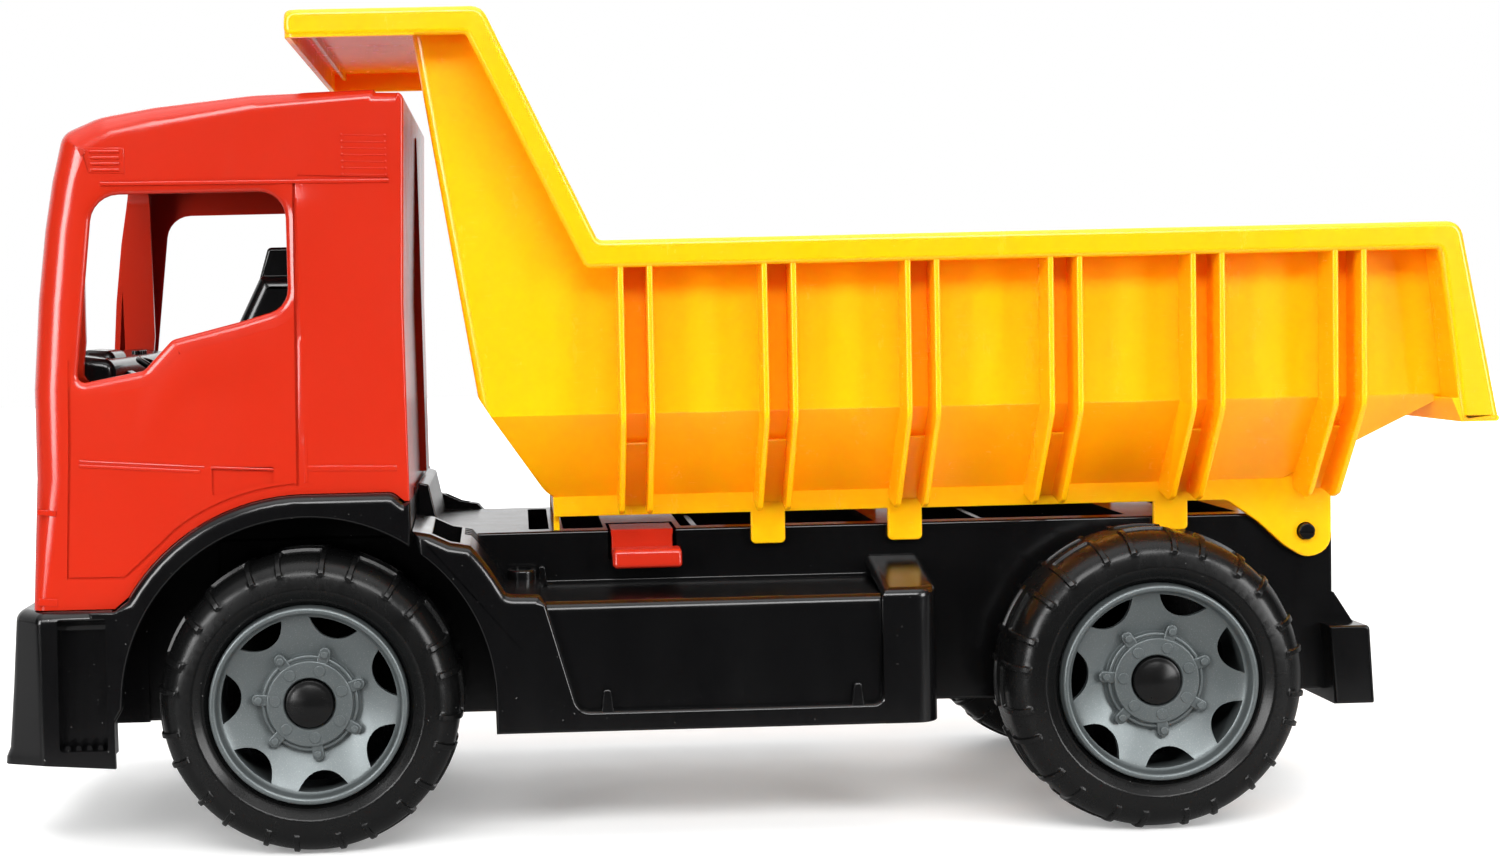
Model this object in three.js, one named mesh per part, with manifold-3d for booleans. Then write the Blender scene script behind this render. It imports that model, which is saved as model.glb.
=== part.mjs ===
// Push-along tipper truck: a hollow moulded chassis with side skirts, an open-windowed cab on a
// black base, a hinged tipper tub with a slide latch, and four wheels that spin on steel axles.
// Millimetres, +Z up, ground at z = 0. The truck drives towards -X and its left side is -Y.
// Stations along X are measured from the front axle; the last group moves the origin to the
// middle of the footprint.
import * as THREE from 'three';
import { mergeVertices } from 'three/addons/utils/BufferGeometryUtils.js';
import Module from 'manifold-3d';

const wasm = await Module();
wasm.setup();

// ---------------------------------------------------------------- driving dimensions

const WHEELBASE = 355;
const TYRE_SIDES = 24;          // flats round the tread; one lies on the ground at rest
const TYRE_RADIUS = 64.5;       // to the corners of the tread
const AXLE_HEIGHT = TYRE_RADIUS * Math.cos(Math.PI / TYRE_SIDES);
const TYRE_OUTER_Y = 118.5;     // outer tyre face from the centre plane
const TYRE_WIDTH = 51;
const RIM_SEAT_RADIUS = 41.8;
const WINDOW_COUNT = 7;         // openings in each wheel disc
const FIRST_WINDOW = 25;        // degrees from +X to the middle of the first

const WALL = 2.5;               // usual moulded wall
const GAP = 0.3;                // clearance between pieces that touch

const CHASSIS_HALF = 62.5;
const CHASSIS_WALL = 3;
const CHASSIS_FRONT = -78;
const CHASSIS_REAR = 447;
const CHASSIS_BOTTOM = 50;
const DECK_TOP = 128.7;
const BUMPER_BAR_HALF = 74;

const BASE_FRONT = -130.2;
const BASE_HALF = 112;
const BASE_TOP = 105;
const ARCH_INNER = 77.5;        // wheel opening radius about the front axle
const ARCH_OUTER = 87;
const FENDER_RADIUS = 93.5;
const TAIL_LOW = 147;           // foot of the cab's rear wall, behind the arches

const CAB_HALF = 107;
const CAB_REAR = 44;
const CAB_ROOF = 318;

const SKIRT_REAR = 263;
const SKIRT_BOTTOM = 49;

const TUB_WALL_HALF = 99;
const TUB_FLOOR_HALF = 60;
const RIM_HALF = 118;
const RIM_TOP = 253.5;
const RIM_BAND = 11.5;
const CANOPY_TOP = 350;
const CREASE = 181;             // height where the tub's sides turn in
const FLOOR = 141;              // underside of the tub's floor
const RIB_PITCH = 59.3;
const RIB_GAP = 12;
const RIB_FIRST = 133;
const RIB_PAIRS = 6;

const HINGE = { x: 434, z: 120.7, radius: 3.5 };
const AXLE_RADIUS = 3;
const LATCH = { x0: 129, x1: 156 };

// ---------------------------------------------------------------- materials

function plastic(colour, roughness) {
  return new THREE.MeshStandardMaterial({ color: colour, roughness, metalness: 0 });
}

const MATERIALS = {
  red: plastic(0xdf3a22, 0.22),
  yellow: plastic(0xffc800, 0.25),
  black: plastic(0x101010, 0.3),
  tyre: plastic(0x121212, 0.4),
  silver: plastic(0x9a9fa1, 0.38),
  steel: new THREE.MeshStandardMaterial({ color: 0xb8babd, roughness: 0.3, metalness: 1 }),
};

// ---------------------------------------------------------------- solids

// The signed volume of a closed indexed mesh tells whether its faces point out.
function signedVolume(vertices, triangles) {
  let total = 0;
  for (let i = 0; i < triangles.length; i += 3) {
    const [a, b, c] = [0, 1, 2].map((k) => new THREE.Vector3().fromArray(vertices, 3 * triangles[i + k]));
    total += a.dot(b.cross(c)) / 6;
  }
  return total;
}

// A closed three.js geometry as a solid that can be joined and cut.
function solid(geometry) {
  const bare = geometry.clone();
  bare.deleteAttribute('normal');
  bare.deleteAttribute('uv');
  const merged = mergeVertices(bare, 1e-4);
  const vertices = Float32Array.from(merged.attributes.position.array);
  const kept = [];
  for (let i = 0; i < merged.index.count; i += 3) {
    const [a, b, c] = [0, 1, 2].map((k) => merged.index.getX(i + k));
    if (a !== b && b !== c && c !== a) kept.push(a, b, c);
  }
  const triangles = Uint32Array.from(kept);
  if (signedVolume(vertices, triangles) < 0) triangles.reverse();
  return new wasm.Manifold(new wasm.Mesh({ numProp: 3, vertProperties: vertices, triVerts: triangles }));
}

function join(...solids) {
  return solids.reduce((total, next) => total.add(next));
}

function cut(from, ...tools) {
  return tools.reduce((total, tool) => total.subtract(tool), from);
}

// An outline from points [u, v] or [u, v, radius], where a radius rounds that corner.
function outline(points) {
  const shape = new THREE.Shape();
  const at = (i) => new THREE.Vector2(...points[(i + points.length) % points.length].slice(0, 2));
  points.forEach((point, i) => {
    const corner = at(i);
    const radius = point[2] ?? 0;
    const before = at(i - 1).sub(corner);
    const after = at(i + 1).sub(corner);
    const half = Math.abs(before.angleTo(after)) / 2;
    const reach = radius ? radius / Math.tan(half) : 0;
    const start = corner.clone().addScaledVector(before.normalize(), reach);
    const end = corner.clone().addScaledVector(after.normalize(), reach);
    if (i === 0) shape.moveTo(start.x, start.y);
    else shape.lineTo(start.x, start.y);
    if (radius) shape.quadraticCurveTo(corner.x, corner.y, end.x, end.y);
  });
  shape.closePath();
  return shape;
}

// Points along an arc about (cx, cz), angles in degrees from +X towards +Z.
function arc(cx, cz, radius, from, to, steps) {
  return Array.from({ length: steps + 1 }, (_, i) => {
    const angle = THREE.MathUtils.degToRad(from + ((to - from) * i) / steps);
    return [cx + radius * Math.cos(angle), cz + radius * Math.sin(angle)];
  });
}

function extruded(shape, depth, curveSegments) {
  return new THREE.ExtrudeGeometry(shape, { depth, bevelEnabled: false, curveSegments });
}

// A side-view outline (x, z) given a thickness from y0 to y1.
function sidePrism(points, y0, y1, curveSegments = 3) {
  const geometry = extruded(outline(points), Math.abs(y1 - y0), curveSegments);
  geometry.rotateX(Math.PI / 2).translate(0, Math.max(y0, y1), 0);
  return solid(geometry);
}

// A front-view outline (y, z) given a thickness from x0 to x1.
function crossPrism(points, x0, x1, curveSegments = 3) {
  const geometry = extruded(outline(points), x1 - x0, curveSegments);
  const [x, y, z] = [new THREE.Vector3(1, 0, 0), new THREE.Vector3(0, 1, 0), new THREE.Vector3(0, 0, 1)];
  geometry.applyMatrix4(new THREE.Matrix4().makeBasis(y, z, x)).translate(x0, 0, 0);
  return solid(geometry);
}

// A plan-view outline (x, y) from z0 to z1. The outline is true at height BASE_TOP and leans back
// by `lean` for each millimetre above it.
function planPrism(points, z0, z1, lean, curveSegments = 3) {
  const geometry = extruded(outline(points), z1 - z0, curveSegments).translate(0, 0, z0);
  const shear = new THREE.Matrix4().makeShear(0, 0, 0, 0, lean, 0);
  shear.setPosition(-lean * BASE_TOP, 0, 0);
  return solid(geometry.applyMatrix4(shear));
}

function box(x0, x1, y0, y1, z0, z1) {
  const geometry = new THREE.BoxGeometry(x1 - x0, Math.abs(y1 - y0), z1 - z0);
  return solid(geometry.translate((x0 + x1) / 2, (y0 + y1) / 2, (z0 + z1) / 2));
}

// A solid of revolution about the line through (x, z) along Y, from (radius, y) points.
function turned(profile, x, z, segments = 24, phase = 0) {
  const points = [...profile, profile[0]].map(([r, y]) => new THREE.Vector2(r, y));
  return solid(new THREE.LatheGeometry(points, segments).rotateY(phase).translate(x, 0, z));
}

function rodY(x, z, radius, y0, y1, segments = 16) {
  const geometry = new THREE.CylinderGeometry(radius, radius, Math.abs(y1 - y0), segments);
  return solid(geometry.translate(x, (y0 + y1) / 2, z));
}

function rodZ(x, y, radius, z0, z1, segments = 12) {
  const geometry = new THREE.CylinderGeometry(radius, radius, z1 - z0, segments);
  return solid(geometry.rotateX(Math.PI / 2).translate(x, y, (z0 + z1) / 2));
}

// Both sides of the truck, as the sign of Y.
const SIDES = [-1, 1];
const SIDE_NAMES = { '-1': 'left', 1: 'right' };

function bothSides(make) {
  return join(...SIDES.map(make));
}

// ---------------------------------------------------------------- assembly

const truck = new THREE.Group();

function addPiece(name, body, material) {
  const mesh = body.getMesh();
  const geometry = new THREE.BufferGeometry();
  geometry.setAttribute('position', new THREE.BufferAttribute(Float32Array.from(mesh.vertProperties), 3));
  geometry.setIndex(new THREE.BufferAttribute(Uint32Array.from(mesh.triVerts), 1));
  const piece = new THREE.Mesh(geometry, material);
  piece.name = name;
  truck.add(piece);
}

// ---------------------------------------------------------------- chassis

const BASE_SCREWS = [[-58, -38], [-58, 38], [26, -38], [26, 38]];   // x, y through the cab's floor
const SKIRT_SCREWS = [150, 235];                                    // x through the chassis side
const SKIRT_SCREW_Z = 84;
const SCREW = { radius: 1.5, head: 3.2, headHeight: 2.2 };
const BOSS_RADIUS = 4;
const CROSS_WALLS = [88, 168, 300, 412];
const CROSS_WALL_LOW = 96;
const DECK_OPENINGS = [[93, 102], [108, 126], [160, 246], [262, 358], [384, 408]];
const DECK_OPENING_HALF = 52;
const HOLE_REACH = 70;          // past both sides of the chassis
const BULKHEAD_HALF = 48;

function chassisFrame() {
  const inner = CHASSIS_HALF - CHASSIS_WALL;
  const channel = cut(
    sidePrism([
      [CHASSIS_FRONT, CHASSIS_BOTTOM],
      [CHASSIS_REAR, CHASSIS_BOTTOM],
      [CHASSIS_REAR, DECK_TOP, 10],
      [CHASSIS_FRONT, DECK_TOP],
    ], -CHASSIS_HALF, CHASSIS_HALF),
    box(CHASSIS_FRONT + CHASSIS_WALL, CHASSIS_REAR - CHASSIS_WALL, -inner, inner,
      CHASSIS_BOTTOM - 1, DECK_TOP - CHASSIS_WALL),
  );
  const underDeck = DECK_TOP - 1;
  const crossWalls = CROSS_WALLS.map((x) =>
    box(x, x + WALL, -inner - 0.5, inner + 0.5, CROSS_WALL_LOW, underDeck));
  const screwBosses = BASE_SCREWS.map(([x, y]) => rodZ(x, y, BOSS_RADIUS, 112, underDeck));
  // A tapering bulkhead stands close behind the cab.
  const bulkhead = sidePrism([
    [CAB_REAR + GAP, underDeck], [53.5, underDeck], [49.3, 149.5, 1], [44.6, 150.5, 0.8],
  ], -BULKHEAD_HALF, BULKHEAD_HALF);
  const bar = cut(
    sidePrism([[444, 45], [461.5, 45], [459.5, 79.5, 1.5], [441.5, 79.5]],
      -BUMPER_BAR_HALF, BUMPER_BAR_HALF),
    box(447.5, 457, -BUMPER_BAR_HALF + WALL, BUMPER_BAR_HALF - WALL, 44, 77),
  );
  const gussets = bothSides((s) => sidePrism(
    [[444, 78], [457, 78], [447.5, 93], [444, 93]], s * CHASSIS_HALF, s * (CHASSIS_HALF - WALL)));
  const frame = join(channel, ...crossWalls, ...screwBosses, bulkhead, bar, gussets);

  const deckOpenings = DECK_OPENINGS.map(([x0, x1]) =>
    box(x0, x1, -DECK_OPENING_HALF, DECK_OPENING_HALF, DECK_TOP - CHASSIS_WALL - 1, DECK_TOP + 1));
  const latchNotch = join(
    box(LATCH.x0 - 1.5, LATCH.x1 + 1.5, -CHASSIS_HALF - 1, -30, DECK_TOP - 3, DECK_TOP + 1),
    box(LATCH.x0 - 1.5, LATCH.x1 + 1.5, -CHASSIS_HALF - 1, -57, 115.5, DECK_TOP + 1),
  );
  const acrossHole = (x, z, radius, segments) =>
    rodY(x, z, radius + GAP, -HOLE_REACH, HOLE_REACH, segments);
  const pinHoles = acrossHole(HINGE.x, HINGE.z, HINGE.radius);
  const axleHoles = [0, WHEELBASE].map((x) => acrossHole(x, AXLE_HEIGHT, AXLE_RADIUS));
  const screwHoles = BASE_SCREWS.map(([x, y]) => rodZ(x, y, SCREW.radius + GAP, 100, DECK_TOP + 5));
  const skirtHoles = SKIRT_SCREWS.map((x) => acrossHole(x, SKIRT_SCREW_Z, SCREW.radius, 12));
  return cut(frame, ...deckOpenings, latchNotch, pinHoles, ...axleHoles, ...screwHoles, ...skirtHoles);
}

// ---------------------------------------------------------------- side skirts

const TOOL_BOX_TOP = 101;
const PANEL_SET_BACK = 4.5;
const PANEL_GUSSETS = [124, 229];

// One skirt: the back half of the front wheel's fender and the tool box along the chassis side.
function sideSkirt(s) {
  const inner = CHASSIS_HALF + GAP;
  const wheelArc = arc(0, AXLE_HEIGHT, ARCH_INNER, 52, -4, 7);
  const fenderArc = arc(0, AXLE_HEIGHT, FENDER_RADIUS, 28, 50, 3);
  const face = [
    [77.5, SKIRT_BOTTOM], [SKIRT_REAR, SKIRT_BOTTOM], [SKIRT_REAR - 3, 105.7, 3],
    [241, 105.7], [240, TOOL_BOX_TOP], [98, TOOL_BOX_TOP], [97, 107], [86, 107],
    ...fenderArc, [CAB_REAR + 0.5, 137], ...wheelArc,
  ];
  const hollowArc = arc(0, AXLE_HEIGHT, FENDER_RADIUS - WALL, 28, 48, 3);
  const hollow = [
    [77.5 + WALL, SKIRT_BOTTOM - 2], [SKIRT_REAR - WALL, SKIRT_BOTTOM - 2], [SKIRT_REAR - 5.5, 103.2],
    [243, 103.2], [242, TOOL_BOX_TOP - WALL], [96, TOOL_BOX_TOP - WALL], [95, 104.5], [85, 104.5],
    ...hollowArc,
    [CAB_REAR - 3, 134.5], ...arc(0, AXLE_HEIGHT, ARCH_INNER + WALL, 54, -6, 7),
  ];
  const openArch = [
    ...arc(0, AXLE_HEIGHT, ARCH_INNER + 0.01, 60, -14, 7), [60, 40], [30, 40], [30, 110],
  ];
  const body = cut(
    sidePrism(face, s * inner, s * BASE_HALF),
    sidePrism(hollow, s * (inner + WALL), s * (BASE_HALF - WALL)),
    sidePrism(openArch, s * (inner + WALL), s * (BASE_HALF - WALL)),
  );
  // The tool box's side is a panel set back between its two ends, over a ledge with two gussets.
  const panel = [[99, TOOL_BOX_TOP + 1], [110, 58, 4], [239.5, 58, 4], [239.5, TOOL_BOX_TOP + 1]];
  const backed = join(body, sidePrism([[96, TOOL_BOX_TOP], [108, 55], [242, 55], [242, TOOL_BOX_TOP]],
    s * (BASE_HALF - PANEL_SET_BACK - WALL), s * (BASE_HALF - 0.5)));
  const recessed = cut(backed, sidePrism(panel, s * (BASE_HALF - PANEL_SET_BACK), s * (BASE_HALF + 1)));
  const gussets = PANEL_GUSSETS.map((x) => sidePrism(
    [[x - 2, 57], [x + 2, 57], [x + 1, 66], [x - 1, 66]],
    s * (BASE_HALF - PANEL_SET_BACK - 0.5), s * (BASE_HALF - 1.5)));
  const fixingBoss = cut(rodZ(90, s * 71, 5.8, 104, 113.5), rodZ(90, s * 71, 2.6, 109, 115));
  const screwBosses = SKIRT_SCREWS.map((x) => rodY(x, SKIRT_SCREW_Z, BOSS_RADIUS, s * inner, s * 78));
  const screwHoles = SKIRT_SCREWS.map((x) => rodY(x, SKIRT_SCREW_Z, SCREW.radius + GAP, s * 60, s * 76, 12));
  return cut(join(recessed, ...gussets, fixingBoss, ...screwBosses), ...screwHoles);
}

// ---------------------------------------------------------------- cab base

const STEP_DEPTH = 9;
const STEP_TEETH = [-100.8, -96.3, -91.8, -87.3];
const GRILLE_SLOTS = [58, 67, 76, 85];
const NOSE_REAR = -81;          // the bumper is open here, towards the wheels
const NOSE_LEAN = 0.1;          // how far the bumper leans back for each millimetre up

// The black lower front: bumper, steps, the front wheel arches and the cab's floor.
function cabBase() {
  const inner = CHASSIS_HALF + GAP;
  const rear = CAB_REAR;
  const floor = DECK_TOP + GAP;
  const lipFront = CHASSIS_FRONT - GAP;
  const noseForm = (inset, low, high, back = NOSE_REAR) => planPrism([
    [BASE_FRONT + 6.6 + inset, -BASE_HALF + inset, 14 - inset],
    [BASE_FRONT + 6.6 + inset, BASE_HALF - inset, 14 - inset],
    [back, BASE_HALF - inset], [back, -BASE_HALF + inset],
  ], low, high, NOSE_LEAN);
  const nose = cut(
    noseForm(0, 39, BASE_TOP),
    noseForm(WALL, 30, BASE_TOP - WALL, NOSE_REAR + 3),
    box(-95, -40, -inner, inner, 30, BASE_TOP - WALL),
    box(lipFront - WALL, -40, -inner, inner, 30, BASE_TOP + 1),
  );
  const archRing = [
    ...arc(0, AXLE_HEIGHT, ARCH_OUTER, 90, 148, 8), [-79.6, BASE_TOP], [-84, BASE_TOP], [-84, 60],
    ...arc(0, AXLE_HEIGHT, ARCH_INNER, 183, 56, 14), [rear, 137], [rear, TAIL_LOW], [41, TAIL_LOW],
    [36.5, AXLE_HEIGHT + ARCH_OUTER],
  ];
  const archHollow = [
    ...arc(0, AXLE_HEIGHT, ARCH_OUTER - WALL, 90, 146, 8), [-86, BASE_TOP - WALL], [-86, 20],
    [70, 20], [70, AXLE_HEIGHT + ARCH_OUTER - WALL],
  ];
  const arches = bothSides((s) => cut(
    sidePrism(archRing, s * inner, s * BASE_HALF),
    sidePrism(archHollow, s * (inner + WALL), s * (BASE_HALF - WALL)),
  ));
  const innerWells = bothSides((s) => sidePrism(
    [[rear, TAIL_LOW], [41, TAIL_LOW], [36.5, AXLE_HEIGHT + ARCH_OUTER - 1],
      ...arc(0, AXLE_HEIGHT, ARCH_OUTER - 1, 90, 130, 4), [rear, floor]],
    s * inner, s * (inner + WALL)));
  const floorPlate = join(
    box(lipFront - WALL, rear, -inner - 1, inner + 1, floor, floor + WALL),
    box(lipFront - WALL, lipFront, -inner - 1, inner + 1, BASE_TOP - WALL, floor + 1),
    bothSides((s) => box(lipFront - WALL, -42, s * inner, s * (inner + WALL), BASE_TOP - WALL, floor + WALL)),
    box(-104, lipFront - 1, -inner - 4, inner + 4, BASE_TOP - WALL, BASE_TOP),
  );
  const rearWall = box(rear - WALL, rear, -BASE_HALF + 1, BASE_HALF - 1, floor, TAIL_LOW);
  // A step recessed in each side of the bumper, with upright grip teeth on its tread.
  const stepBack = BASE_HALF - STEP_DEPTH;
  const steps = bothSides((s) => box(-106, -81.5, s * (stepBack - WALL), s * (BASE_HALF - 0.5), 45, 99));
  const stepCuts = bothSides((s) => box(-103.9, -83.6, s * stepBack, s * (BASE_HALF + 5), 47, 98.5));
  const teeth = bothSides((s) => join(...STEP_TEETH.map((x) =>
    box(x - 1, x + 1, s * (stepBack - 0.5), s * (BASE_HALF - 2), 46.5, 49))));
  const grille = GRILLE_SLOTS.map((z) =>
    box(-134, -127 + (z - GRILLE_SLOTS[0]) * NOSE_LEAN, -48, 48, z, z + 4));
  const lamps = bothSides((s) => box(-134, -125.8, s * 64, s * 94, 70, 88));
  const body = join(nose, arches, innerWells, floorPlate, rearWall, steps);
  const holes = BASE_SCREWS.map(([x, y]) => rodZ(x, y, SCREW.radius + GAP, 120, 140));
  return cut(body, ...holes, stepCuts, ...grille, lamps).add(teeth);
}

// ---------------------------------------------------------------- cab shell

// The cab's outer form, shrunk by `inset` for its hollow.
function cabForm(inset) {
  const lowest = inset ? 60 : BASE_TOP + GAP;
  const side = sidePrism([
    [-113.5 + inset, lowest], [-110.3 + inset, 160], [-110 + inset, 197], [-107 + inset, 234],
    [-103.3 + inset, 263], [-99.7 + inset, 283], [-94.5 + inset, 303 - inset, 7], [-79, 309.2 - inset],
    [-58, 313 - inset], [-17, 317.5 - inset], [33, CAB_ROOF - inset],
    [45.5 - inset, 316.5 - inset, 4], [43.2 - inset, 230], [CAB_REAR - inset, lowest],
  ], -CAB_HALF, CAB_HALF);
  const half = CAB_HALF - inset;
  const top = CAB_ROOF + 2 - inset;
  const front = crossPrism([[-half, 40], [half, 40], [half, top, 12], [-half, top, 12]], -130, 60);
  const plan = planPrism([[-114.5 + inset, -half, 16], [-114.5 + inset, half, 16], [120, half], [120, -half]],
    BASE_TOP - 60, CAB_ROOF + 10, 0.05);
  return side.intersect(front).intersect(plan);
}

function cabShell() {
  const sideWindow = [
    [-93, 199, 3], [-65, 204, 4], [-53, 216.5, 5], [-24, 223.5], [-4.6, 229, 11], [-4.6, 277, 12],
    [-84, 277, 12],
  ];
  const windscreen = [[-91, 199, 8], [91, 199, 8], [86, 290, 10], [-86, 290, 10]];
  const wheelCut = [
    ...arc(0, AXLE_HEIGHT, ARCH_OUTER + GAP, 90, 148, 8), [-80, BASE_TOP + GAP], [-80, 50], [90, 50],
    [90, TAIL_LOW + GAP], [41.3, TAIL_LOW + GAP], [36.8, AXLE_HEIGHT + ARCH_OUTER + GAP],
  ];
  return cut(
    cabForm(0),
    cabForm(WALL),
    sidePrism(sideWindow, -130, 130, 4),
    crossPrism(windscreen, -130, -86),
    sidePrism(wheelCut, -130, 130),
  );
}

// ---------------------------------------------------------------- cab interior

const SEAT_Y = 50;

function seatBench() {
  const floor = DECK_TOP + GAP + WALL + GAP;
  const seat = (s) => {
    const y = s * SEAT_Y;
    return join(
      box(-60, 4, y - 24, y + 24, 153, 172),
      sidePrism([[-46, 168], [-8, 168], [2, 243, 5], [-19.5, 243, 3], [-30, 222]], y - 24, y + 24),
      sidePrism([[-21, 240], [0, 240], [1, 255, 3], [-16.5, 255, 2]], y - 17, y + 17),
    );
  };
  const legs = box(-50, 0, -30, 30, floor, 155);
  return join(bothSides(seat), legs, box(-56, -2, -70, 70, 152.5, 157));
}

// The steering wheel's centre, its radius and how far its column leans back, in degrees.
const STEERING = { x: -66, y: -SEAT_Y, z: 203, radius: 11, tilt: 27 };
const COLUMN_RADIUS = 1.6;

function onSteeringAxis(geometry) {
  const place = new THREE.Matrix4().makeRotationY(THREE.MathUtils.degToRad(STEERING.tilt));
  place.setPosition(STEERING.x, STEERING.y, STEERING.z);
  return solid(geometry.applyMatrix4(place));
}

function dashboard() {
  const top = sidePrism([
    [-105, 194], [-83, 190, 3], [-80, 196], [-80.5, 208.5, 5], [-101, 211.5, 3],
  ], -88, 88);
  const post = box(-105, -94, -22, 22, BASE_TOP + GAP, 200);
  const bracket = onSteeringAxis(new THREE.BoxGeometry(20, 12, 5).translate(-6, 0, -9));
  const bore = onSteeringAxis(
    new THREE.CylinderGeometry(COLUMN_RADIUS + 0.4, COLUMN_RADIUS + 0.4, 12, 12).rotateX(Math.PI / 2)
      .translate(0, 0, -9));
  return cut(join(top, post, bracket), bore);
}

function steeringWheel() {
  const ring = new THREE.TorusGeometry(STEERING.radius, 1.5, 6, 16);
  const hub = new THREE.CylinderGeometry(3, 3, 3, 8).rotateX(Math.PI / 2);
  const spokes = [90, 210, 330].map((degrees) => new THREE.BoxGeometry(STEERING.radius, 2.4, 1.6)
    .translate(STEERING.radius / 2, 0, 0).rotateZ(THREE.MathUtils.degToRad(degrees)));
  const column = new THREE.CylinderGeometry(COLUMN_RADIUS, COLUMN_RADIUS, 12, 8).rotateX(Math.PI / 2)
    .translate(0, 0, -6.5);
  return join(...[ring, hub, ...spokes, column].map(onSteeringAxis));
}

// ---------------------------------------------------------------- tipper tub

const CANOPY_FRONT = -2;
const TUB_FRONT_TOP = 49;       // station of the front wall's top edge
const FRONT_WALL_FOOT = 76;     // and of its crease
const OVER_TUB = 420;           // clear of everything above
const SLOPE_TOP = 84;           // station where the rim starts down from the canopy
const SLOPE_FOOT = 125;         // station where it meets the level rim
const REAR_TOP = 482;
const REAR_LIP = 496;
const REAR_LIP_BOTTOM = 170;
const FLOOR_FRONT = 104;
const FLOOR_REAR = 419;
const RAMP_END = 484;

// The block between the tub's side walls, from the side and across. `ends` close the side outline
// from the floor's rear round to the foot of the front wall's top edge.
function tubBlock(inset, ends) {
  const side = sidePrism([
    [FRONT_WALL_FOOT + inset, CREASE], [FLOOR_FRONT + inset * 0.6, FLOOR + inset],
    [FLOOR_REAR, FLOOR + inset], ...ends,
  ], -TUB_WALL_HALF, TUB_WALL_HALF);
  const half = TUB_WALL_HALF - inset;
  const low = TUB_FLOOR_HALF - inset * 0.4;
  const cross = crossPrism([
    [-low, FLOOR + inset], [low, FLOOR + inset], [half, CREASE],
    [half, OVER_TUB + 10], [-half, OVER_TUB + 10], [-half, CREASE],
  ], -20, 560);
  return side.intersect(cross);
}

// The tub's outer form below its rim.
function tubForm() {
  return tubBlock(0, [
    [RAMP_END - 3, CREASE - 3], [REAR_TOP - 10, RIM_TOP - 1], [SLOPE_FOOT - 2, RIM_TOP - 1],
    [SLOPE_TOP - 5, CANOPY_TOP], [TUB_FRONT_TOP, CANOPY_TOP],
  ]);
}

// What the load lies in: the tub's inside, open upwards and rearwards.
function tubHollow() {
  return tubBlock(WALL, [
    [RAMP_END + 30, 199 + WALL], [RAMP_END + 30, OVER_TUB], [TUB_FRONT_TOP - 12 + WALL, OVER_TUB],
  ]);
}

// The turned-down band and the top plate that run round the canopy, the slope and the level rim.
function tubRim() {
  const outer = [
    [CANOPY_FRONT, CANOPY_TOP, 3], [SLOPE_TOP - 4, CANOPY_TOP, 5],
    [SLOPE_FOOT, RIM_TOP, 3], [REAR_TOP - 3, RIM_TOP, 5],
  ];
  const low = CANOPY_TOP - RIM_BAND;
  const band = [
    ...outer, [REAR_LIP, REAR_LIP_BOTTOM], [REAR_LIP - 16, REAR_LIP_BOTTOM],
    [REAR_TOP - 11, RIM_TOP - RIM_BAND],
    [SLOPE_FOOT - 5.5, RIM_TOP - RIM_BAND], [72, low], [CANOPY_FRONT, low],
  ];
  const plate = [
    [CANOPY_FRONT + 1, CANOPY_TOP], [SLOPE_TOP - 4, CANOPY_TOP, 5], [SLOPE_FOOT, RIM_TOP, 3],
    [REAR_TOP - 6, RIM_TOP], [REAR_TOP - 6, RIM_TOP - WALL], [SLOPE_FOOT - 1.5, RIM_TOP - WALL],
    [SLOPE_TOP - 6.5, CANOPY_TOP - WALL], [CANOPY_FRONT + 1, CANOPY_TOP - WALL],
  ];
  const rearPlate = [
    [REAR_TOP - 11, RIM_TOP - 1], [REAR_TOP - 11 + WALL, RIM_TOP - 1],
    [REAR_LIP - 16 + WALL, REAR_LIP_BOTTOM], [REAR_LIP - 16, REAR_LIP_BOTTOM],
  ];
  const wall = TUB_WALL_HALF - WALL;
  const sides = bothSides((s) => join(
    sidePrism(band, s * (RIM_HALF - WALL), s * RIM_HALF),
    sidePrism(plate, s * wall, s * RIM_HALF),
    sidePrism(rearPlate, s * wall, s * RIM_HALF),
  ));
  const canopy = join(
    box(CANOPY_FRONT, TUB_FRONT_TOP + 2, -RIM_HALF, RIM_HALF, CANOPY_TOP - WALL, CANOPY_TOP),
    box(CANOPY_FRONT, CANOPY_FRONT + WALL, -RIM_HALF, RIM_HALF, low, CANOPY_TOP),
  );
  const rearSill = join(
    sidePrism([
      [RAMP_END - 6, CREASE - 1], [RAMP_END - 3, CREASE - 1], [REAR_LIP - 13, REAR_LIP_BOTTOM],
      [REAR_LIP - 16, REAR_LIP_BOTTOM],
    ], -RIM_HALF, RIM_HALF),
    box(REAR_LIP - 15, REAR_LIP, -RIM_HALF, RIM_HALF, REAR_LIP_BOTTOM, REAR_LIP_BOTTOM + WALL),
  );
  return join(sides, canopy, rearSill);
}

function tubRibs() {
  const outerEdge = RIM_HALF - 1;
  const rib = (x, s) => crossPrism([
    [s * (TUB_WALL_HALF - 1), RIM_TOP - 1], [s * outerEdge, RIM_TOP - 1], [s * outerEdge, 178],
    [s * 84, 139.2], [s * 78.5, 138], [s * 57, 141.5],
    [s * (TUB_WALL_HALF - 1), CREASE],
  ], x, x + 2);
  const web = (x, s) => crossPrism([
    [s * 84, 168], [s * 91.5, 168], [s * 66.5, 139.5], [s * 60, 141.5],
  ], x, x + RIB_GAP + 1);
  return bothSides((s) => join(...Array.from({ length: RIB_PAIRS }, (_, i) => {
    const x = RIB_FIRST + i * RIB_PITCH;
    return join(rib(x - 1, s), rib(x + RIB_GAP - 1, s), web(x, s));
  })));
}

const TABS = [{ x: 190, low: 121.3 }, { x: 250, low: 121.3 }, { x: 367, low: 122.6 }];
const TAB_WIDTH = 15;

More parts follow.
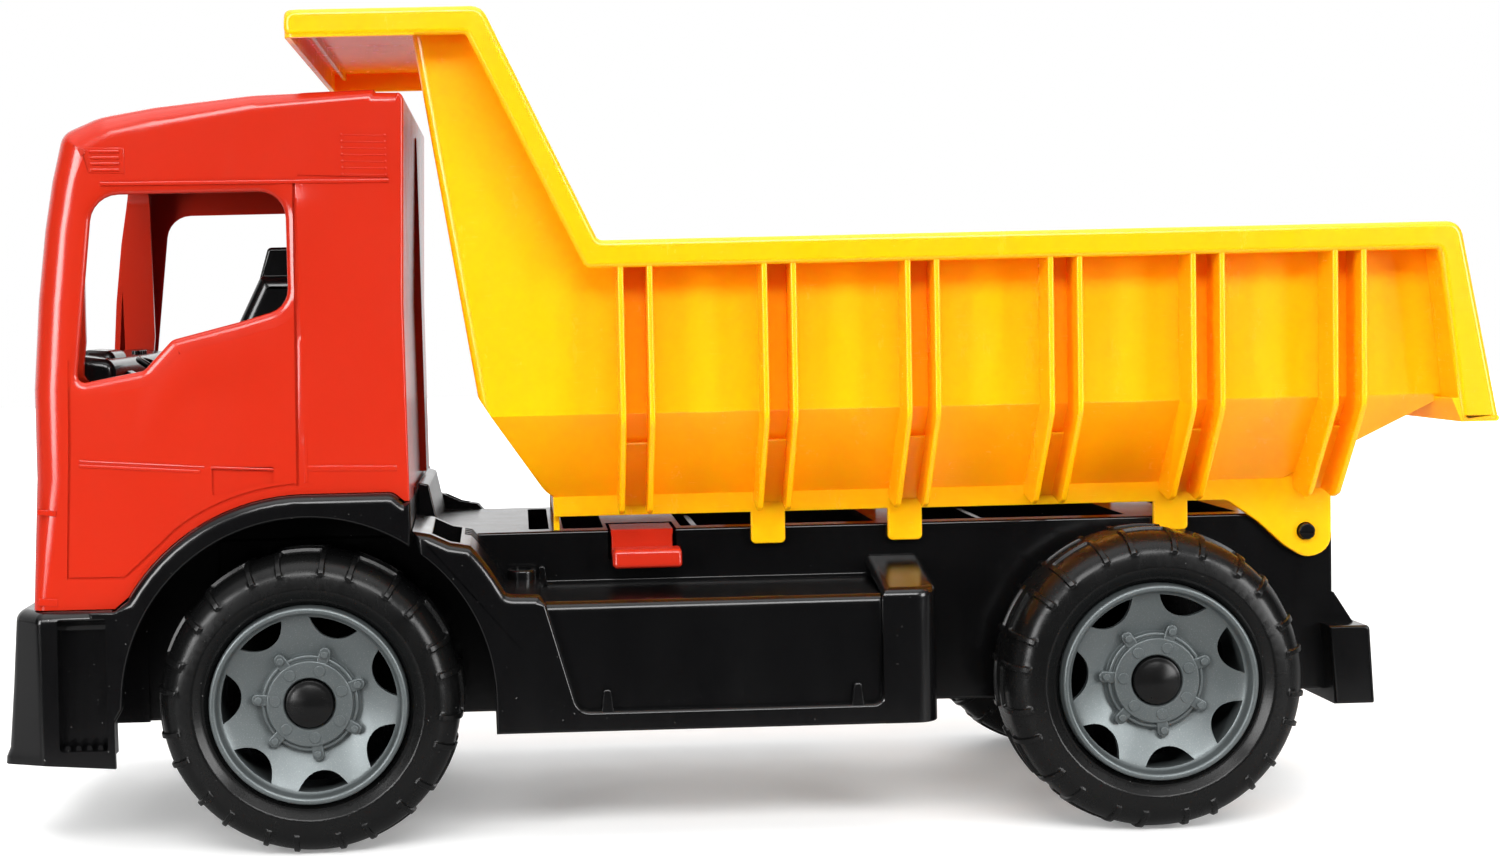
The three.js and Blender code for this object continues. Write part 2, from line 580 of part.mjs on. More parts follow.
// The skirt under the floor, its guide tabs, its front foot and the two hinge ears.
function tubUnderside() {
  const inner = CHASSIS_HALF + 1;
  const plate = (points, s) => sidePrism(points, s * inner, s * (inner + WALL));
  const tab = ({ x, low }, s) => plate(
    [[x, 144], [x, low, 1.5], [x + TAB_WIDTH, low, 1.5], [x + TAB_WIDTH, 144]], s);
  const ear = (s) => plate([
    [392, 144], [392, 135.3], [401, 135], [415, 123], [427, 113.5, 3], [434, 110.5, 4], [445.5, 113.5, 6],
    [445.5, 154],
  ], s);
  const strip = (s) => plate([[FLOOR_FRONT, 135.3], [FLOOR_FRONT, 144], [400, 144], [400, 135.3]], s);
  const floorEdge = bothSides((s) => box(FLOOR_FRONT, 420, s * 58, s * (inner + WALL), FLOOR, FLOOR + 3));
  const sides = bothSides((s) => join(
    strip(s), ear(s), ...TABS.map((each) => tab(each, s)),
  ));
  const front = join(
    box(FLOOR_FRONT, FLOOR_FRONT + WALL, -inner - 1, inner + 1, 135.3, 144),
    bothSides((s) => box(FLOOR_FRONT, FLOOR_FRONT + WALL, s * 54, s * 62, DECK_TOP + GAP, 138)),
  );
  return cut(join(sides, floorEdge, front), rodY(HINGE.x, HINGE.z, HINGE.radius + 0.5, -80, 80));
}

function tipperTub() {
  return join(
    cut(tubForm(), tubHollow()),
    tubRim(),
    cut(join(tubRibs(), tubUnderside()), tubHollow()),
  );
}

// ---------------------------------------------------------------- latch and hinge pins

// A slide under the tub's floor with a pull handle that hangs outside the chassis on the left.
function tipperLatch() {
  const { x0, x1 } = LATCH;
  const plateLow = DECK_TOP - 3 + GAP;
  const outer = -CHASSIS_HALF - 5;
  const plate = box(x0, x1, -61, -34, plateLow, plateLow + WALL);
  const handle = crossPrism([
    [-61, plateLow + 2], [-59, plateLow + 2], [-59, 117.4], [outer + 3.4, 117], [outer - 5.4, 113.4, 1],
    [outer - 7.6, 114.4, 1], [outer - 5.2, 121.4, 2], [outer + 0.5, 122.7], [outer + 4, 122.9],
    [outer + 5, 121.2], [-61, 121],
  ], x0, x1);
  const lip = crossPrism([
    [outer - 1, 116], [outer - 5.6, 112.6, 1], [outer - 8.3, 113.4, 1], [outer - 7.4, 120.8, 2],
    [outer - 1, 121.6],
  ], x0, x1 + 2.5);
  return join(plate, handle, lip);
}

function hingePin(s) {
  return join(
    rodY(HINGE.x, HINGE.z, HINGE.radius, s * 57.5, s * 68.6),
    rodY(HINGE.x, HINGE.z, HINGE.radius + 1.2, s * 57, s * (CHASSIS_HALF - CHASSIS_WALL - GAP)),
  );
}

// ---------------------------------------------------------------- wheels

// A hollow ring, closed towards the chassis by a web round the axle and open outwards, where the
// wheel disc fits into it.
function tyre(s, x) {
  const out = TYRE_OUTER_Y;
  const inn = TYRE_OUTER_Y - TYRE_WIDTH;
  const webHole = AXLE_RADIUS + 1.2;
  const profile = [
    [webHole, inn + 2], [RIM_SEAT_RADIUS, inn + 2], [50, inn], [60, inn + 5], [TYRE_RADIUS, inn + 14],
    [TYRE_RADIUS, out - 14], [60, out - 5], [50, out], [RIM_SEAT_RADIUS, out - 2],
    [RIM_SEAT_RADIUS, out - 5], [50, out - 3], [58, out - 7], [TYRE_RADIUS - 3, out - 15],
    [TYRE_RADIUS - 3, inn + 15], [58, inn + 7], [50, inn + 4.5], [webHole, inn + 4.5],
  ].map(([r, y]) => [r, s * y]);
  return turned(profile, x, AXLE_HEIGHT, TYRE_SIDES, Math.PI / TYRE_SIDES);
}

function wheelDisc(s, x) {
  const seat = RIM_SEAT_RADIUS - 0.6;
  const dish = turned([
    [38.8, 76], [seat, 76], [seat, 117.5], [39, 117.5], [38, 112.5], [19, 106.5], [17.5, 110],
    [11.2, 110], [11.2, 105], [3.5, 105], [3.5, 80], [8, 80], [9, 101.5], [38.5, 109.5],
  ].map(([r, y]) => [r, s * y]), x, AXLE_HEIGHT, 3 * WINDOW_COUNT);
  const windows = Array.from({ length: WINDOW_COUNT }, (_, i) => {
    const centre = FIRST_WINDOW + (360 / WINDOW_COUNT) * i;
    const opening = [
      ...arc(0, 0, 37, centre - 17, centre + 17, 2), ...arc(0, 0, 28, centre + 5, centre - 5, 1),
    ];
    return sidePrism(opening.map(([u, v]) => [x + u, AXLE_HEIGHT + v]), s * 95, s * 116);
  });
  return cut(dish, ...windows);
}

function hubCap(s, x) {
  return turned([
    [0, 111.2], [7.6, 111.2], [8, 107], [10.4, 107], [10.4, 112.4], [8.5, 114], [4, 115], [0, 115.2],
  ].map(([r, y]) => [r, s * y]), x, AXLE_HEIGHT, 12);
}

function axleClip(s, x) {
  return turned([
    [AXLE_RADIUS + 0.15, 106], [6, 106], [6, 107], [4.6, 108], [AXLE_RADIUS + 0.15, 108],
  ].map(([r, y]) => [r, s * y]), x, AXLE_HEIGHT, 12);
}

function baseScrew(x, y) {
  const seat = DECK_TOP + GAP + WALL + GAP;
  return join(
    rodZ(x, y, SCREW.radius, 115, seat + 0.5, 10),
    rodZ(x, y, SCREW.head, seat, seat + SCREW.headHeight, 12),
  );
}

function skirtScrew(s, x) {
  const seat = CHASSIS_HALF - CHASSIS_WALL - GAP;
  return join(
    rodY(x, SKIRT_SCREW_Z, SCREW.radius, s * (seat - 0.5), s * 74, 10),
    rodY(x, SKIRT_SCREW_Z, SCREW.head, s * (seat - SCREW.headHeight), s * seat, 12),
  );
}

// ---------------------------------------------------------------- the truck

addPiece('chassis_frame', chassisFrame(), MATERIALS.black);
addPiece('cab_base', cabBase(), MATERIALS.black);
addPiece('cab_shell', cabShell(), MATERIALS.red);
addPiece('seat_bench', seatBench(), MATERIALS.black);
addPiece('dashboard', dashboard(), MATERIALS.black);
addPiece('steering_wheel', steeringWheel(), MATERIALS.black);
addPiece('tipper_tub', tipperTub(), MATERIALS.yellow);
addPiece('tipper_latch', tipperLatch(), MATERIALS.red);

for (const s of SIDES) {
  const side = SIDE_NAMES[s];
  addPiece(`${side}_side_skirt`, sideSkirt(s), MATERIALS.black);
  addPiece(`${side}_hinge_pin`, hingePin(s), MATERIALS.black);
  SKIRT_SCREWS.forEach((x, i) => addPiece(`${side}_skirt_screw_${i + 1}`, skirtScrew(s, x), MATERIALS.steel));
}

BASE_SCREWS.forEach(([x, y], i) => addPiece(`base_screw_${i + 1}`, baseScrew(x, y), MATERIALS.steel));

for (const [end, x] of [['front', 0], ['rear', WHEELBASE]]) {
  addPiece(`${end}_axle`, rodY(x, AXLE_HEIGHT, AXLE_RADIUS, -109, 109, 16), MATERIALS.steel);
  for (const s of SIDES) {
    const corner = `${end}_${SIDE_NAMES[s]}`;
    addPiece(`${corner}_tyre`, tyre(s, x), MATERIALS.tyre);
    addPiece(`${corner}_wheel_disc`, wheelDisc(s, x), MATERIALS.silver);
    addPiece(`${corner}_hub_cap`, hubCap(s, x), MATERIALS.black);
    addPiece(`${corner}_axle_clip`, axleClip(s, x), MATERIALS.steel);
  }
}

truck.position.x = -(BASE_FRONT + REAR_LIP) / 2;

const model = new THREE.Group();
model.add(truck);

export default model;
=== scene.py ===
"""Looks of the push-along tipper truck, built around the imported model.

Every piece is modelled in millimetres: x is the station behind the front axle, y is across the truck
(its left side is -y) and z is the height over the ground. place() turns them into the frame's metres.
"""

import math

import bmesh
import bpy
from mathutils import Matrix, Vector


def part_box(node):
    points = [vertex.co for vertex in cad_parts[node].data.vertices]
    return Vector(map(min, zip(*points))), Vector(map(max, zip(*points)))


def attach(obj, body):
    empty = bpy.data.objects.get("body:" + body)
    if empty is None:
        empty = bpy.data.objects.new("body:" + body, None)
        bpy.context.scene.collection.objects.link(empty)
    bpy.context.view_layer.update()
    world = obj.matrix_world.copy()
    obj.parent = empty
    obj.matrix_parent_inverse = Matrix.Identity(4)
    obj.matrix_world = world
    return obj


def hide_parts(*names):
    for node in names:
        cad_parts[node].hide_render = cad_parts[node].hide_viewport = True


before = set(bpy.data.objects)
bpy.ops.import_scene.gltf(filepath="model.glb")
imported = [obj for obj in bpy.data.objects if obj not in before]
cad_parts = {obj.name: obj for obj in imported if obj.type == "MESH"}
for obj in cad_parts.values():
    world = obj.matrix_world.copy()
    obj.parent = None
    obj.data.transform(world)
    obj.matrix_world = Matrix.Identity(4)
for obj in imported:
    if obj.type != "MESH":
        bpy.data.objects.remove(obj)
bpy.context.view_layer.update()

MM = 0.001
axle_low, axle_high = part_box("front_axle")
rear_low, rear_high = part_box("rear_axle")
ORIGIN_X = (axle_low.x + axle_high.x) / 2
AXLE_Z = (axle_low.z + axle_high.z) / 2 / MM
WHEELBASE = (rear_low.x + rear_high.x) / 2 / MM - ORIGIN_X / MM
TO_FRAME = Matrix.Translation((ORIGIN_X, 0, 0)) @ Matrix.Scale(MM, 4)

SIDES = (-1, 1)
SIDE_NAME = {-1: "left", 1: "right"}

# ------------------------------------------------------------------ outlines


def rounded(points, quarter=6):
    """The outline with every (u, v, radius) corner turned into an arc."""
    out = []
    count = len(points)
    for i, point in enumerate(points):
        corner = Vector(point[:2])
        radius = point[2] if len(point) > 2 else 0
        if not radius:
            out.append(corner)
            continue
        before = (Vector(points[i - 1][:2]) - corner).normalized()
        after = (Vector(points[(i + 1) % count][:2]) - corner).normalized()
        half = before.angle(after) / 2
        centre = corner + (before + after).normalized() * radius / math.sin(half)
        start = corner + before * radius / math.tan(half) - centre
        end = corner + after * radius / math.tan(half) - centre
        turn = math.atan2(start.cross(end), start.dot(end))
        steps = max(2, round(abs(turn) / (math.pi / 2) * quarter))
        for k in range(steps + 1):
            a = turn * k / steps
            out.append(centre + Vector((
                start.x * math.cos(a) - start.y * math.sin(a),
                start.x * math.sin(a) + start.y * math.cos(a),
            )))
    return out


def arc(cu, cv, radius, start, end, steps):
    """Points on an arc about (cu, cv), degrees from +u towards +v."""
    angles = [math.radians(start + (end - start) * k / steps) for k in range(steps + 1)]
    return [(cu + radius * math.cos(a), cv + radius * math.sin(a)) for a in angles]


def clean(loop, least=1e-3):
    """The loop without points that lie on the one before."""
    kept = [p for i, p in enumerate(loop) if (Vector(p) - Vector(loop[i - 1])).length > least]
    area = sum(a[0] * b[1] - b[0] * a[1] for a, b in zip(kept, kept[1:] + kept[:1]))
    return [Vector(p) for p in (kept if area > 0 else kept[::-1])]


def inward(loop):
    """For each point of a counterclockwise loop, the move that insets its edges by 1."""
    moves = []
    for i, point in enumerate(loop):
        a = (point - loop[i - 1]).normalized()
        b = (loop[(i + 1) % len(loop)] - point).normalized()
        na, nb = Vector((-a.y, a.x)), Vector((-b.y, b.x))
        moves.append((na + nb) / max(1 + na.dot(nb), 0.3))
    return moves


# ------------------------------------------------------------------ solids

AXES = {
    "y": lambda u, v, w: (u, w, v),
    "x": lambda u, v, w: (w, u, v),
    "z": lambda u, v, w: (u, v, w),
}


def new_object(bm, name="solid"):
    """A mesh object made from what was drawn, with its faces turned outward."""
    bmesh.ops.recalc_face_normals(bm, faces=bm.faces)
    mesh = bpy.data.meshes.new(name)
    bm.to_mesh(mesh)
    bm.free()
    obj = bpy.data.objects.new(name, mesh)
    bpy.context.scene.collection.objects.link(obj)
    return obj


def loft(rings, name="solid"):
    """A closed solid through rings of equally many points, with flat ends."""
    bm = bmesh.new()
    made = [[bm.verts.new(p) for p in ring] for ring in rings]
    count = len(rings[0])
    for low, high in zip(made, made[1:]):
        for i in range(count):
            j = (i + 1) % count
            bm.faces.new((low[i], low[j], high[j], high[i]))
    bm.faces.new(made[0][::-1])
    bm.faces.new(made[-1])
    return new_object(bm, name)


def slab(points, low, high, axis="y", soft=0, steps=4, quarter=6):
    """An outline given a thickness from low to high along axis.

    soft rounds the rims of its two ends: a radius, a function of a rim point that gives one, or two of them.
    """
    if not isinstance(soft, tuple):
        soft = (soft, soft)
    if low > high:
        low, high = high, low
        soft = soft[::-1]
    loop = clean(rounded(points, quarter))
    moves = inward(loop)
    to_xyz = AXES[axis]
    rings = []
    for end, radius, sign in ((low, soft[0], 1), (high, soft[1], -1)):
        radii = [radius(*p) if callable(radius) else radius for p in loop]
        turns = [90 * k / steps for k in range(steps + 1)] if any(radii) else [90]
        if sign < 0:
            turns = turns[::-1]
        for turn in turns:
            s, c = math.sin(math.radians(turn)), math.cos(math.radians(turn))
            rings.append([
                to_xyz(*(p + m * r * (1 - s)), end + sign * r * (1 - c))
                for p, m, r in zip(loop, moves, radii)
            ])
    return loft(rings)


def mouth(points, surface, depth, reach, steps=7):
    """A cutter that rolls the edge of an opening in the left side over into it."""
    loop = clean(rounded(points, 8))
    moves = inward(loop)
    rings = [[(*(p - m * reach), surface - 1) for p, m in zip(loop, moves)]]
    for k in range(steps + 1):
        deep = k / steps
        wide = reach * (1 - math.sqrt(1 - (1 - deep) ** 2))
        rings.append([(*(p - m * wide), surface + depth * deep) for p, m in zip(loop, moves)])
    return loft([[(u, w, v) for u, v, w in ring] for ring in rings])


def rectangle(u0, u1, v0, v1, radius=0):
    """The corners of a rectangle, all with one radius."""
    return [(u0, v0, radius), (u1, v0, radius), (u1, v1, radius), (u0, v1, radius)]


def box(x0, x1, y0, y1, z0, z1, soft=0):
    return slab(rectangle(x0, x1, z0, z1), y0, y1, soft=soft, steps=3)


def lathe(profile, x=0, z=0, segments=96):
    """A ring or disc turned about the line along Y through (x, z), from (radius, y) points."""
    bm = bmesh.new()
    rings = []
    for r, y in profile:
        if r < 1e-6:
            rings.append([bm.verts.new((x, y, z))])
            continue
        angles = [2 * math.pi * k / segments for k in range(segments)]
        rings.append([bm.verts.new((x + r * math.cos(a), y, z + r * math.sin(a))) for a in angles])
    for a, b in zip(rings, rings[1:] + rings[:1]):
        if len(a) == len(b) == 1:
            continue
        for k in range(segments):
            n = (k + 1) % segments
            if len(a) == 1:
                face = (a[0], b[k], b[n])
            elif len(b) == 1:
                face = (a[k], a[n], b[0])
            else:
                face = (a[k], a[n], b[n], b[k])
            bm.faces.new(face)
    return new_object(bm)


def rod(centre, radius, low, high, axis="y", soft=0, quarter=6):
    """A round bar, with quarter steps in each quarter turn."""
    u, v = centre
    return slab(arc(u, v, radius, 0, 360, 4 * quarter), low, high, axis, soft, steps=3)


def boolean(target, tool, operation):
    """Changes the target by the tool, which is used up."""
    modifier = target.modifiers.new("boolean", "BOOLEAN")
    modifier.object = tool
    modifier.operation = operation
    modifier.solver = "MANIFOLD"
    depsgraph = bpy.context.evaluated_depsgraph_get()
    mesh = bpy.data.meshes.new_from_object(target.evaluated_get(depsgraph))
    target.modifiers.clear()
    old = target.data
    target.data = mesh
    bpy.data.meshes.remove(old)
    if not len(mesh.polygons):
        raise RuntimeError(f"the {operation.lower()} left nothing")
    bpy.data.meshes.remove(tool.data)
    return target


def join(target, *tools):
    for tool in tools:
        boolean(target, tool, "UNION")
    return target


def cut(target, *tools):
    for tool in tools:
        boolean(target, tool, "DIFFERENCE")
    return target


def common(target, *tools):
    for tool in tools:
        boolean(target, tool, "INTERSECT")
    return target


def gathered(objects):
    """Solids that don't touch each other, as one object."""
    bm = bmesh.new()
    for obj in objects:
        bm.from_mesh(obj.data)
        bpy.data.meshes.remove(obj.data)
    return new_object(bm)


def copied(obj, matrix):
    """A copy moved by the matrix, which may mirror it."""
    other = obj.copy()
    other.data = obj.data.copy()
    bpy.context.scene.collection.objects.link(other)
    other.data.transform(matrix)
    if matrix.determinant() < 0:
        other.data.flip_normals()
    return other


MIRROR = Matrix.Scale(-1, 4, (0, 1, 0))


def both(obj):
    """The solid and its mirror image on the other side, which it doesn't touch."""
    return gathered([copied(obj, MIRROR), obj])


def mirrored(obj):
    obj.data.transform(MIRROR)
    obj.data.flip_normals()
    return obj


def bevelled(obj, width, angle=40, segments=2, among=None):
    """Rounds the sharp edges for good, on a solid of few faces.

    among picks the edges by their lower and higher end.
    """
    bm = bmesh.new()
    bm.from_mesh(obj.data)
    bmesh.ops.dissolve_limit(bm, angle_limit=math.radians(1), verts=bm.verts, edges=bm.edges)
    sharp = [e for e in bm.edges if e.calc_face_angle(0) > math.radians(angle)]
    if among:
        sharp = [e for e in sharp if among(*sorted((v.co for v in e.verts), key=lambda co: co.z))]
    bmesh.ops.bevel(bm, geom=sharp, offset=width, segments=segments, profile=0.5, affect="EDGES",
                    offset_type="OFFSET", clamp_overlap=True)
    bm.to_mesh(obj.data)
    bm.free()
    return obj


# ------------------------------------------------------------------ materials


class Tree:
    """Short calls to build the node tree of a material or a world."""

    def __init__(self, owner):
        owner.use_nodes = True
        self.tree = owner.node_tree
        self.tree.nodes.clear()

    def add(self, kind, **settings):
        node = self.tree.nodes.new(kind)
        for key, value in settings.items():
            if key in node.inputs:
                node.inputs[key].default_value = value
            else:
                setattr(node, key, value)
        return node

    def link(self, source, target):
        self.tree.links.new(source, target)

    def feed(self, source, target):
        """Links a socket to the target, or gives it a plain value."""
        if hasattr(source, "links"):
            self.link(source, target)
        else:
            target.default_value = source

    def remap(self, value, a, b, to_a, to_b):
        """The value's range from a to b, moved to the range from to_a to to_b."""
        node = self.add("ShaderNodeMapRange", clamp=True)
        for i, source in enumerate((value, a, b, to_a, to_b)):
            self.feed(source, node.inputs[i])
        return node.outputs[0]

    def mix(self, factor, first, second):
        """A colour between two others, each a socket or three numbers."""
        node = self.add("ShaderNodeMix", data_type="RGBA")
        self.link(factor, node.inputs["Factor"])
        for i, source in ((6, first), (7, second)):
            self.feed(source if hasattr(source, "links") else (*source, 1), node.inputs[i])
        return node.outputs[2]

    def math(self, operation, first, second):
        node = self.add("ShaderNodeMath", operation=operation)
        for i, source in enumerate((first, second)):
            self.feed(source, node.inputs[i])
        return node.outputs[0]


class Surface(Tree):
    """A material, whose patterns are fixed to its piece."""

    def __init__(self, name):
        self.material = bpy.data.materials.new(name)
        super().__init__(self.material)
        self.shader = self.add("ShaderNodeBsdfPrincipled")
        self.link(self.shader.outputs[0], self.add("ShaderNodeOutputMaterial").inputs[0])
        self.place = self.add("ShaderNodeTexCoord").outputs["Object"]

    def noise(self, scale, detail=3.0, roughness=0.5, stretch=(1, 1, 1)):
        """Noise at this many cycles to the metre."""
        mapping = self.add("ShaderNodeMapping", Scale=stretch)
        self.link(self.place, mapping.inputs["Vector"])
        node = self.add("ShaderNodeTexNoise", Scale=scale, Detail=detail, Roughness=roughness)
        self.link(mapping.outputs[0], node.inputs["Vector"])
        return node.outputs["Fac"]

    def bump(self, height, distance, strength, after=None):
        """A relief distance metres high, laid over the one before."""
        node = self.add("ShaderNodeBump", Strength=strength, Distance=distance)
        self.link(height, node.inputs["Height"])
        if after:
            self.link(after, node.inputs["Normal"])
        return node.outputs[0]

    def look(self, **sources):
        """Feeds the shader's inputs, named with a _ for each space."""
        for name, source in sources.items():
            self.feed(source, self.shader.inputs[name.replace("_", " ")])


DUST = (0.35, 0.35, 0.34)
SCRATCHED = 0.06


def moulded_plastic(name, colour, shade, gloss, dust=0.0, peel=0.00002, through=None, shine=0.5):
    """Glossy moulded plastic: slow flow marks in colour, fine orange peel, scratches and settled dust.

    through gives the share, reach by colour and depth in metres of the light that passes through it.
    """
    n = Surface(name)
    n.look(Specular_IOR_Level=shine)
    if through:
        share, reach, depth = through
        n.look(Subsurface_Weight=share, Subsurface_Radius=reach, Subsurface_Scale=depth)
    tint = n.mix(n.remap(n.noise(9, 2.0, 0.5), 0.35, 0.7, 0, 1), colour, shade)
    if dust:
        tint = n.mix(n.remap(n.noise(800, 1.0, 0.4), 0.79, 0.83, 0, dust), tint, DUST)
    rub = n.remap(n.noise(60, 6.0, 0.75, (1, 1, 0.35)), 0.3, 0.75, gloss, gloss * 1.5)
    scratches = n.remap(n.noise(70, 8.0, 0.9, (1, 1, 14)), 0.56, 0.72, 0, SCRATCHED)
    fine = n.bump(n.noise(900, 2.0, 0.6), peel, 0.35)
    waves = n.bump(n.noise(38, 2.0, 0.5), 0.00012, 0.3, fine)
    n.look(Base_Color=tint, Roughness=n.math("ADD", rub, scratches), Normal=waves)
    return n.material


def silver_plastic():
    """Silver-grey plastic with fine metal flakes in it."""
    n = Surface("silver_plastic")
    flakes = n.noise(2600, 1.0, 0.5)
    swirl = n.remap(n.noise(22, 3.0, 0.6), 0.3, 0.7, 0, 1)
    tint = n.mix(swirl, (0.082, 0.095, 0.097), (0.105, 0.119, 0.122))
    n.look(
        Base_Color=n.mix(n.remap(flakes, 0.6, 0.8, 0, 0.3), tint, (0.4, 0.43, 0.43)),
        Metallic=0.55,
        Roughness=n.remap(n.noise(80, 5.0, 0.7), 0.3, 0.7, 0.33, 0.42),
        Normal=n.bump(flakes, 0.00003, 0.4),
    )
    return n.material


def brushed_steel():
    n = Surface("brushed_steel")
    streaks = n.noise(400, 3.0, 0.6, (1, 0.05, 1))
    n.look(
        Base_Color=n.mix(streaks, (0.42, 0.42, 0.41), (0.62, 0.62, 0.6)),
        Metallic=1.0,
        Roughness=n.remap(streaks, 0.3, 0.7, 0.22, 0.38),
        Normal=n.bump(streaks, 0.00002, 0.4),
    )
    return n.material


MATERIALS = {
    "red": moulded_plastic(
        "red_plastic", (0.42, 0.0185, 0.006), (0.40, 0.0165, 0.0055), 0.16,
        through=(0.15, (1.0, 0.1, 0.05), 0.005)),
    "yellow": moulded_plastic(
        "yellow_plastic", (0.97, 0.42, 0.001), (0.95, 0.40, 0.001), 0.2,
        through=(0.55, (1.0, 0.4, 0.04), 0.01)),
    "black": moulded_plastic(
        "black_plastic", (0.0018, 0.0018, 0.002), (0.0026, 0.0026, 0.0028), 0.16, dust=0.3, shine=0.42),
    "tyre": moulded_plastic(
        "tyre_plastic", (0.0025, 0.0026, 0.0027), (0.0035, 0.0035, 0.0035), 0.22,
        dust=0.25, peel=0.00004, shine=0.24),
    "cap": moulded_plastic(
        "cap_plastic", (0.003, 0.003, 0.0032), (0.004, 0.004, 0.004), 0.2, dust=0.15, shine=0.22),
    "silver": silver_plastic(),
    "steel": brushed_steel(),
}

# ------------------------------------------------------------------ putting a piece in the frame

WELD = 0.004
FLAT_ANGLE = 0.4
EDGE_SEGMENTS = 2


def piece(obj, node, material, body, edge=0.35, smooth=35):
    """Finishes a solid in millimetres as the looks of a node, on its moving body."""
    obj.name = obj.data.name = node + "_moulded"
    mesh = obj.data
    bm = bmesh.new()
    bm.from_mesh(mesh)
    bmesh.ops.remove_doubles(bm, verts=bm.verts, dist=WELD)
    bmesh.ops.dissolve_limit(bm, angle_limit=math.radians(FLAT_ANGLE), verts=bm.verts, edges=bm.edges)
    bm.to_mesh(mesh)
    bm.free()
    mesh.transform(TO_FRAME)
    mesh.materials.clear()
    mesh.materials.append(MATERIALS[material])
    mesh.shade_smooth()
    if edge:
        bevel = obj.modifiers.new("edges", "BEVEL")
        bevel.width = edge * MM
        bevel.segments = EDGE_SEGMENTS
        bevel.limit_method = "ANGLE"
        bevel.angle_limit = math.radians(smooth)
        bevel.use_clamp_overlap = True
    else:
        mesh.set_sharp_from_angle(angle=math.radians(smooth))
    weighted = obj.modifiers.new("normals", "WEIGHTED_NORMAL")
    weighted.keep_sharp = True
    weighted.weight = 60
    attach(obj, body)
    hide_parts(node)
    return obj


# ------------------------------------------------------------------ cab

FIT = 0.3
WALL = 2.5
CAB_HALF = 107
CAB_REAR = 44
ARCH_INNER = 77.5
ARCH_OUTER = 87
BASE_TOP = 105
TAIL_LOW = 147

CAB_NOSE = [(-112.7, 160), (-112.4, 197), (-109.4, 234), (-105.7, 263), (-102.1, 283)]
CAB_SIDE = [
    (-115.9, 60), *CAB_NOSE, (-97.0, 303.2, 8), (-80, 310, 30), (-58, 313.4, 60), (-17, 317.2, 60),
    (33, 318.2), (34, 316.9), (45.5, 316.5, 3), (43.2, 230), (CAB_REAR, 60),
]
SIDE_WINDOW = [
    (-93, 199, 3), (-65, 204, 4), (-53, 216.5, 5), (-24, 223.5), (-4.6, 229, 10), (-4.6, 277, 11),
    (-84, 277, 12),
]
WINDSCREEN = [(-91, 199, 8), (91, 199, 8), (86, 290, 10), (-86, 290, 10)]


def cab_softness(x, z):
    """The radius of the edge between the cab's side and its front, roof and rear."""
    if z < 62:
        return 0.1
    if x < -90:
        return 13
    if z > 290 and x < 43:
        return 12 - 8 * (x + 90) / 133
    return 1.4


def cab_outer():
    return slab(CAB_SIDE, -CAB_HALF, CAB_HALF, soft=cab_softness, steps=7)


def cab_inner():
    """The hollow in the cab, a wall's thickness inside it and open below."""
    inset = WALL + 0.2
    loop = [(x + inset, z) for x, z in ((-115.9, 40), *CAB_NOSE, (-98, 303))]
    loop += [(-79, 309.2 - inset), (-58, 313 - inset), (-17, 317.2 - inset), (33, 318.2 - inset),
             (45.5 - inset, 316 - inset), (43.2 - inset, 230), (CAB_REAR - inset, 40)]

    def softness(x, z):
        return max(cab_softness(x, z + inset) - inset, 0.1)

    return slab(loop, -CAB_HALF + inset, CAB_HALF - inset, soft=softness)


def clamped(value):
    return max(0.0, min(1.0, value))


def sliced(bm, place, normal):
    """Cuts the faces along a plane, so that they can be bent there."""
    everything = bm.verts[:] + bm.edges[:] + bm.faces[:]
    bmesh.ops.bisect_plane(bm, geom=everything, plane_co=place, plane_no=normal)


def bulge(obj):
    """Swells the cab's sides behind the door and under the window, as the real moulding does."""
    bm = bmesh.new()
    bm.from_mesh(obj.data)
    for i in range(1, 62):
        sliced(bm, (-112 + 2.5 * i, 0, 0), (1, 0, 0))
    for i in range(1, 52):
        sliced(bm, (0, 0, 106 + 4 * i), (0, 0, 1))
    for v in bm.verts:
        x, y, z = v.co
        if abs(y) < CAB_HALF - 0.05:
            continue
        push = 0.0
        if 0 <= x <= 15:
            along = clamped((280 - z) / 10) * clamped((z - 150) / 110)
            push = 2.2 * along * (1 - x / 15) ** 1.7
        if -70 < x < -3:
            sill = 199 + 24 * clamped((x + 68) / 20) + 0.12 * (x + 50)
            depth = (sill - z) / 34
            if 0 < depth < 1:
                push = 1.1 * math.sin(math.pi * depth) ** 1.5 * math.sin(math.pi * (x + 70) / 67)
        v.co.y += math.copysign(push, y)
    bm.to_mesh(obj.data)
    bm.free()
    return obj


def side_strip(x0, z0, x1, z1, width, proud):
    """A raised line on the left side from one point to another."""
    start, end = Vector((x0, z0)), Vector((x1, z1))
    across = (end - start).normalized().orthogonal() * width / 2
    outline = [start - across, end - across, end + across, start + across]
    return slab(outline, -CAB_HALF - proud, -CAB_HALF + 3, soft=(0.3, 0), steps=2)


def groove(points, width, depth):
    """A line sunk into the left side along a path."""
    path = [Vector(p) for p in points]
    sides = []
    for i, p in enumerate(path):
        back = (p - path[i - 1]).normalized() if i else (path[1] - p).normalized()
        ahead = (path[i + 1] - p).normalized() if i < len(path) - 1 else back
        normal = (Vector((-back.y, back.x)) + Vector((-ahead.y, ahead.x))).normalized()
        sides.append((p + normal * width / 2, p - normal * width / 2))
    loop = [a for a, _ in sides] + [b for _, b in sides[::-1]]
    return slab(loop, -CAB_HALF - 3, -CAB_HALF + depth)


def wheel_arc(radius, start, end, steps):
    """Points on an arc about the front wheel's centre."""
    return arc(0, AXLE_Z, radius, start, end, steps)


